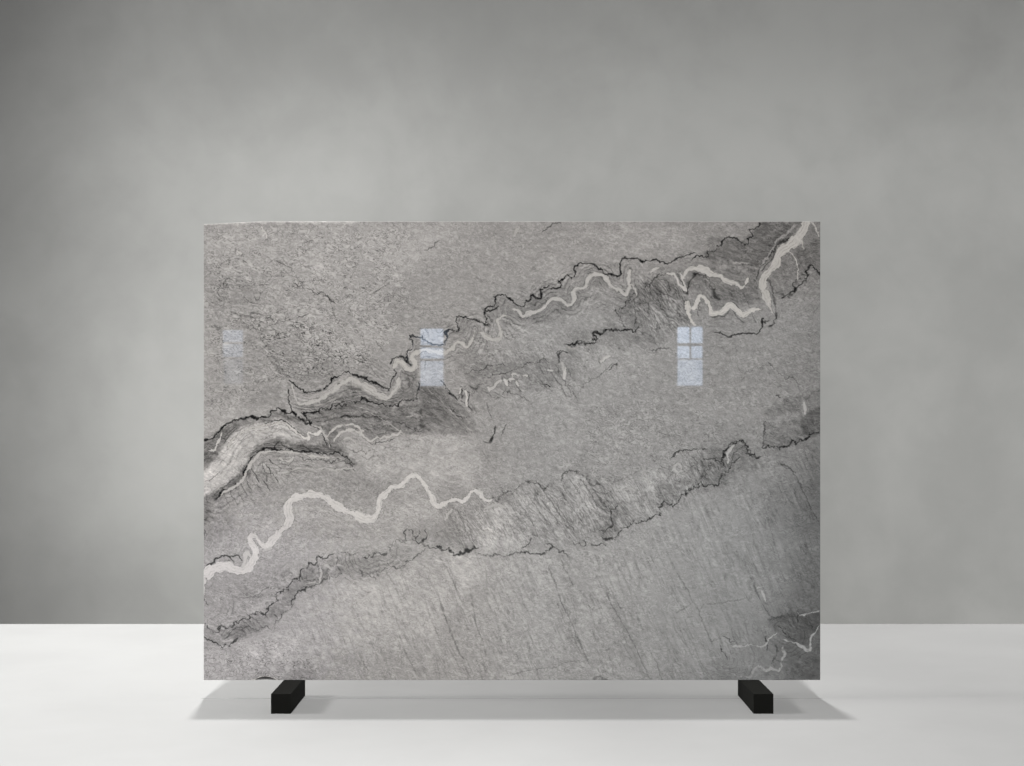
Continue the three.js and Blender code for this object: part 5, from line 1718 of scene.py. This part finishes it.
def wall_plaster():
    """Painted shade makes it darker toward the left end, at the lower and upper left and toward the top. It
    doesn't hide the object from behind.
    """
    g = Graph("grey_plaster")
    x, _, z = g.axes()
    # painted shade in the lower and upper left
    painted_shade_lower_left = g.times(g.step(z, 0.9, 0.05), g.step(x, -1.2, -2.2), 0.24)
    painted_shade_upper_left = g.times(g.step(z, 1.6, 2.3), g.step(x, -1.2, -2.0), 0.14)
    corners = g.math("SUBTRACT", 1.0, g.math("MAXIMUM", painted_shade_lower_left, painted_shade_upper_left))
    # painted shade: darker toward the left end and the top
    painted_shade = g.times(g.step(x, -3.3, -1.9, 0.50, 1.0), g.step(z, 2.6, 3.8, 1.0, 0.68), corners)
    material = concrete(g, WALL_COLOUR, WALL_CLOUDS, painted_shade)
    back = g.node("NewGeometry").outputs["Backfacing"]
    clear = g.node("BsdfTransparent").outputs["BSDF"]
    either = g.node("MixShader", inputs=[(0, back), (1, g.shader.outputs["BSDF"]), (2, clear)])
    g.put(g.tree.nodes["Material Output"].inputs["Surface"], either.outputs["Shader"])
    return material


# ---------------------------------------------------------------------------------------------
# Stage, light and camera
# ---------------------------------------------------------------------------------------------
STAGE_HALF_WIDTH = 9.0
FLOOR_FRONT_Y, FLOOR_BACK_Y = -9.0, 9.0
WALL_Y = 2.476
WALL_HEIGHT = 6.0

# (name, degrees toward the back, degrees toward the right, softness in degrees, strength)
SUNS = [
    ("overhead_front", 13.4, 0.3, 1.8, 3.75),
    ("overhead_back", -12.2, 1.2, 1.8, 3.95),
    ("from_left", 1.0, 58.0, 8.0, 3.2),
    ("from_right", 2.0, -72.0, 12.0, 0.8),
]
# (name, place, aim, size, watts)
LAMPS = [
    ("wall_glow", (-1.4, 0.4, 2.1), (-1.6, 2.4, 2.0), (1.2, 1.0), 16.0),
    ("wall_glow_right", (2.1, 1.2, 1.3), (2.1, 2.4, 1.3), (0.5, 1.0), 2.2),
    ("front_left", (-2.6, -8.5, 1.15), (-0.3, 0.2, 1.05), (6.0, 1.8), 270.0),
]
AIR_COLOUR, AIR_STRENGTH = (0.97, 0.985, 1.0, 1.0), 0.19

# The windows that the polished face mirrors: each pane's left, right, top and bottom on the drawing
# and its brightness.
PANE_Y = -0.5
PANE_COLOUR = (0.62, 0.77, 1.0)
PANE_WATTS = 30.0                           # for each square metre, at full brightness
WINDOW_PANES = [
    (223.0, 243.0, 330.0, 342.0, 0.32), (223.0, 243.0, 344.0, 357.0, 0.26),
    (224.0, 243.0, 359.0, 384.0, 0.1), (420.5, 443.5, 328.5, 345.0, 0.62),
    (420.5, 443.5, 347.5, 358.5, 0.56), (420.5, 443.5, 361.0, 386.0, 0.42),
    (677.5, 689.6, 327.0, 343.0, 0.78), (691.2, 702.5, 327.0, 343.0, 0.72),
    (677.5, 689.6, 346.0, 358.2, 0.72), (691.2, 702.5, 346.0, 358.2, 0.68),
    (677.5, 702.5, 359.6, 385.5, 0.52),
]

IMAGE_WIDTH = 1024
CAMERA_LENS, CAMERA_SENSOR = 50.0, 36.0
CAMERA_PLACE = (0.0, -5.922, 1.1338)
CAMERA_RISE = 49.0                          # pixels that the picture is shifted up
CAMERA_REACH = 60.0


def sheet_of(name, corners, material):
    """A flat piece of the stage."""
    mesh = bpy.data.meshes.new(name)
    mesh.from_pydata(corners, [], [tuple(range(len(corners)))])
    mesh.materials.append(material)
    piece = placed(name, mesh)
    return piece


def build_stage():
    side = STAGE_HALF_WIDTH
    sheet_of("floor", [(-side, FLOOR_FRONT_Y, 0.0), (side, FLOOR_FRONT_Y, 0.0), (side, FLOOR_BACK_Y, 0.0),
                       (-side, FLOOR_BACK_Y, 0.0)], floor_paint())
    backdrop = sheet_of("backdrop", [(-side, WALL_Y, 0.0), (side, WALL_Y, 0.0), (side, WALL_Y, WALL_HEIGHT),
                                     (-side, WALL_Y, WALL_HEIGHT)], wall_plaster())
    backdrop.visible_shadow = False


def lamp(name, place, aim, size, watts, colour=(1.0, 1.0, 1.0)):
    """A rectangle of light."""
    data = bpy.data.lights.new(name, "AREA")
    data.shape = "RECTANGLE"
    data.size, data.size_y = size
    data.energy, data.color = watts, colour
    ahead = Vector(aim) - Vector(place)
    level = math.hypot(ahead.x, ahead.y)
    return placed(name, data, place, (math.atan2(level, -ahead.z), 0.0, math.atan2(-ahead.x, ahead.y)))


def build_windows():
    """Bright panes in front of the slab, seen only where the polish mirrors them."""
    _, eye_y, eye_z = CAMERA_PLACE
    grow = 1.0 + (SLAB_FRONT - PANE_Y) / (SLAB_FRONT - eye_y)
    for number, (left, right, top, bottom, brightness) in enumerate(WINDOW_PANES):
        x0, z1 = on_slab(left, top)
        x1, z0 = on_slab(right, bottom)
        centre_x = (x0 + x1) / 2 * grow
        centre_z = eye_z + ((z0 + z1) / 2 - eye_z) * grow
        width, height = (x1 - x0) * grow, (z1 - z0) * grow
        pane = lamp(f"window_{number}", (centre_x, PANE_Y, centre_z), (centre_x, SLAB_FRONT, centre_z),
                    (width, height), PANE_WATTS * brightness * width * height, PANE_COLOUR)
        pane.visible_camera = pane.visible_diffuse = False
        pane.visible_transmission = pane.visible_volume_scatter = False


def build_lights():
    for name, toward_back, toward_right, softness, strength in SUNS:
        data = bpy.data.lights.new(name, "SUN")
        data.energy, data.angle = strength, math.radians(softness)
        placed(name, data, (0.0, 0.0, 5.0), (math.radians(toward_back), math.radians(-toward_right), 0.0))
    for settings in LAMPS:
        piece = lamp(*settings)
        piece.visible_camera = piece.visible_glossy = False
    world = bpy.data.worlds.new("studio_air")
    world.use_nodes = True
    background = world.node_tree.nodes["Background"]
    background.inputs["Color"].default_value = AIR_COLOUR
    background.inputs["Strength"].default_value = AIR_STRENGTH
    bpy.context.scene.world = world


def build_camera():
    data = bpy.data.cameras.new("camera")
    data.lens, data.sensor_width = CAMERA_LENS, CAMERA_SENSOR
    data.shift_y = CAMERA_RISE / IMAGE_WIDTH
    data.clip_end = CAMERA_REACH
    bpy.context.scene.camera = placed("camera", data, CAMERA_PLACE, (math.pi / 2, 0.0, 0.0))


build_camera()
bpy.context.scene.view_settings.view_transform = "Standard"
slab = build_slab()
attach(slab, "root")
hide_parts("slab")
paint = black_paint()
for name in ("left_block", "right_block"):
    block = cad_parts[name]
    block.data.materials.clear()
    block.data.materials.append(paint)
build_stage()
build_lights()
build_windows()
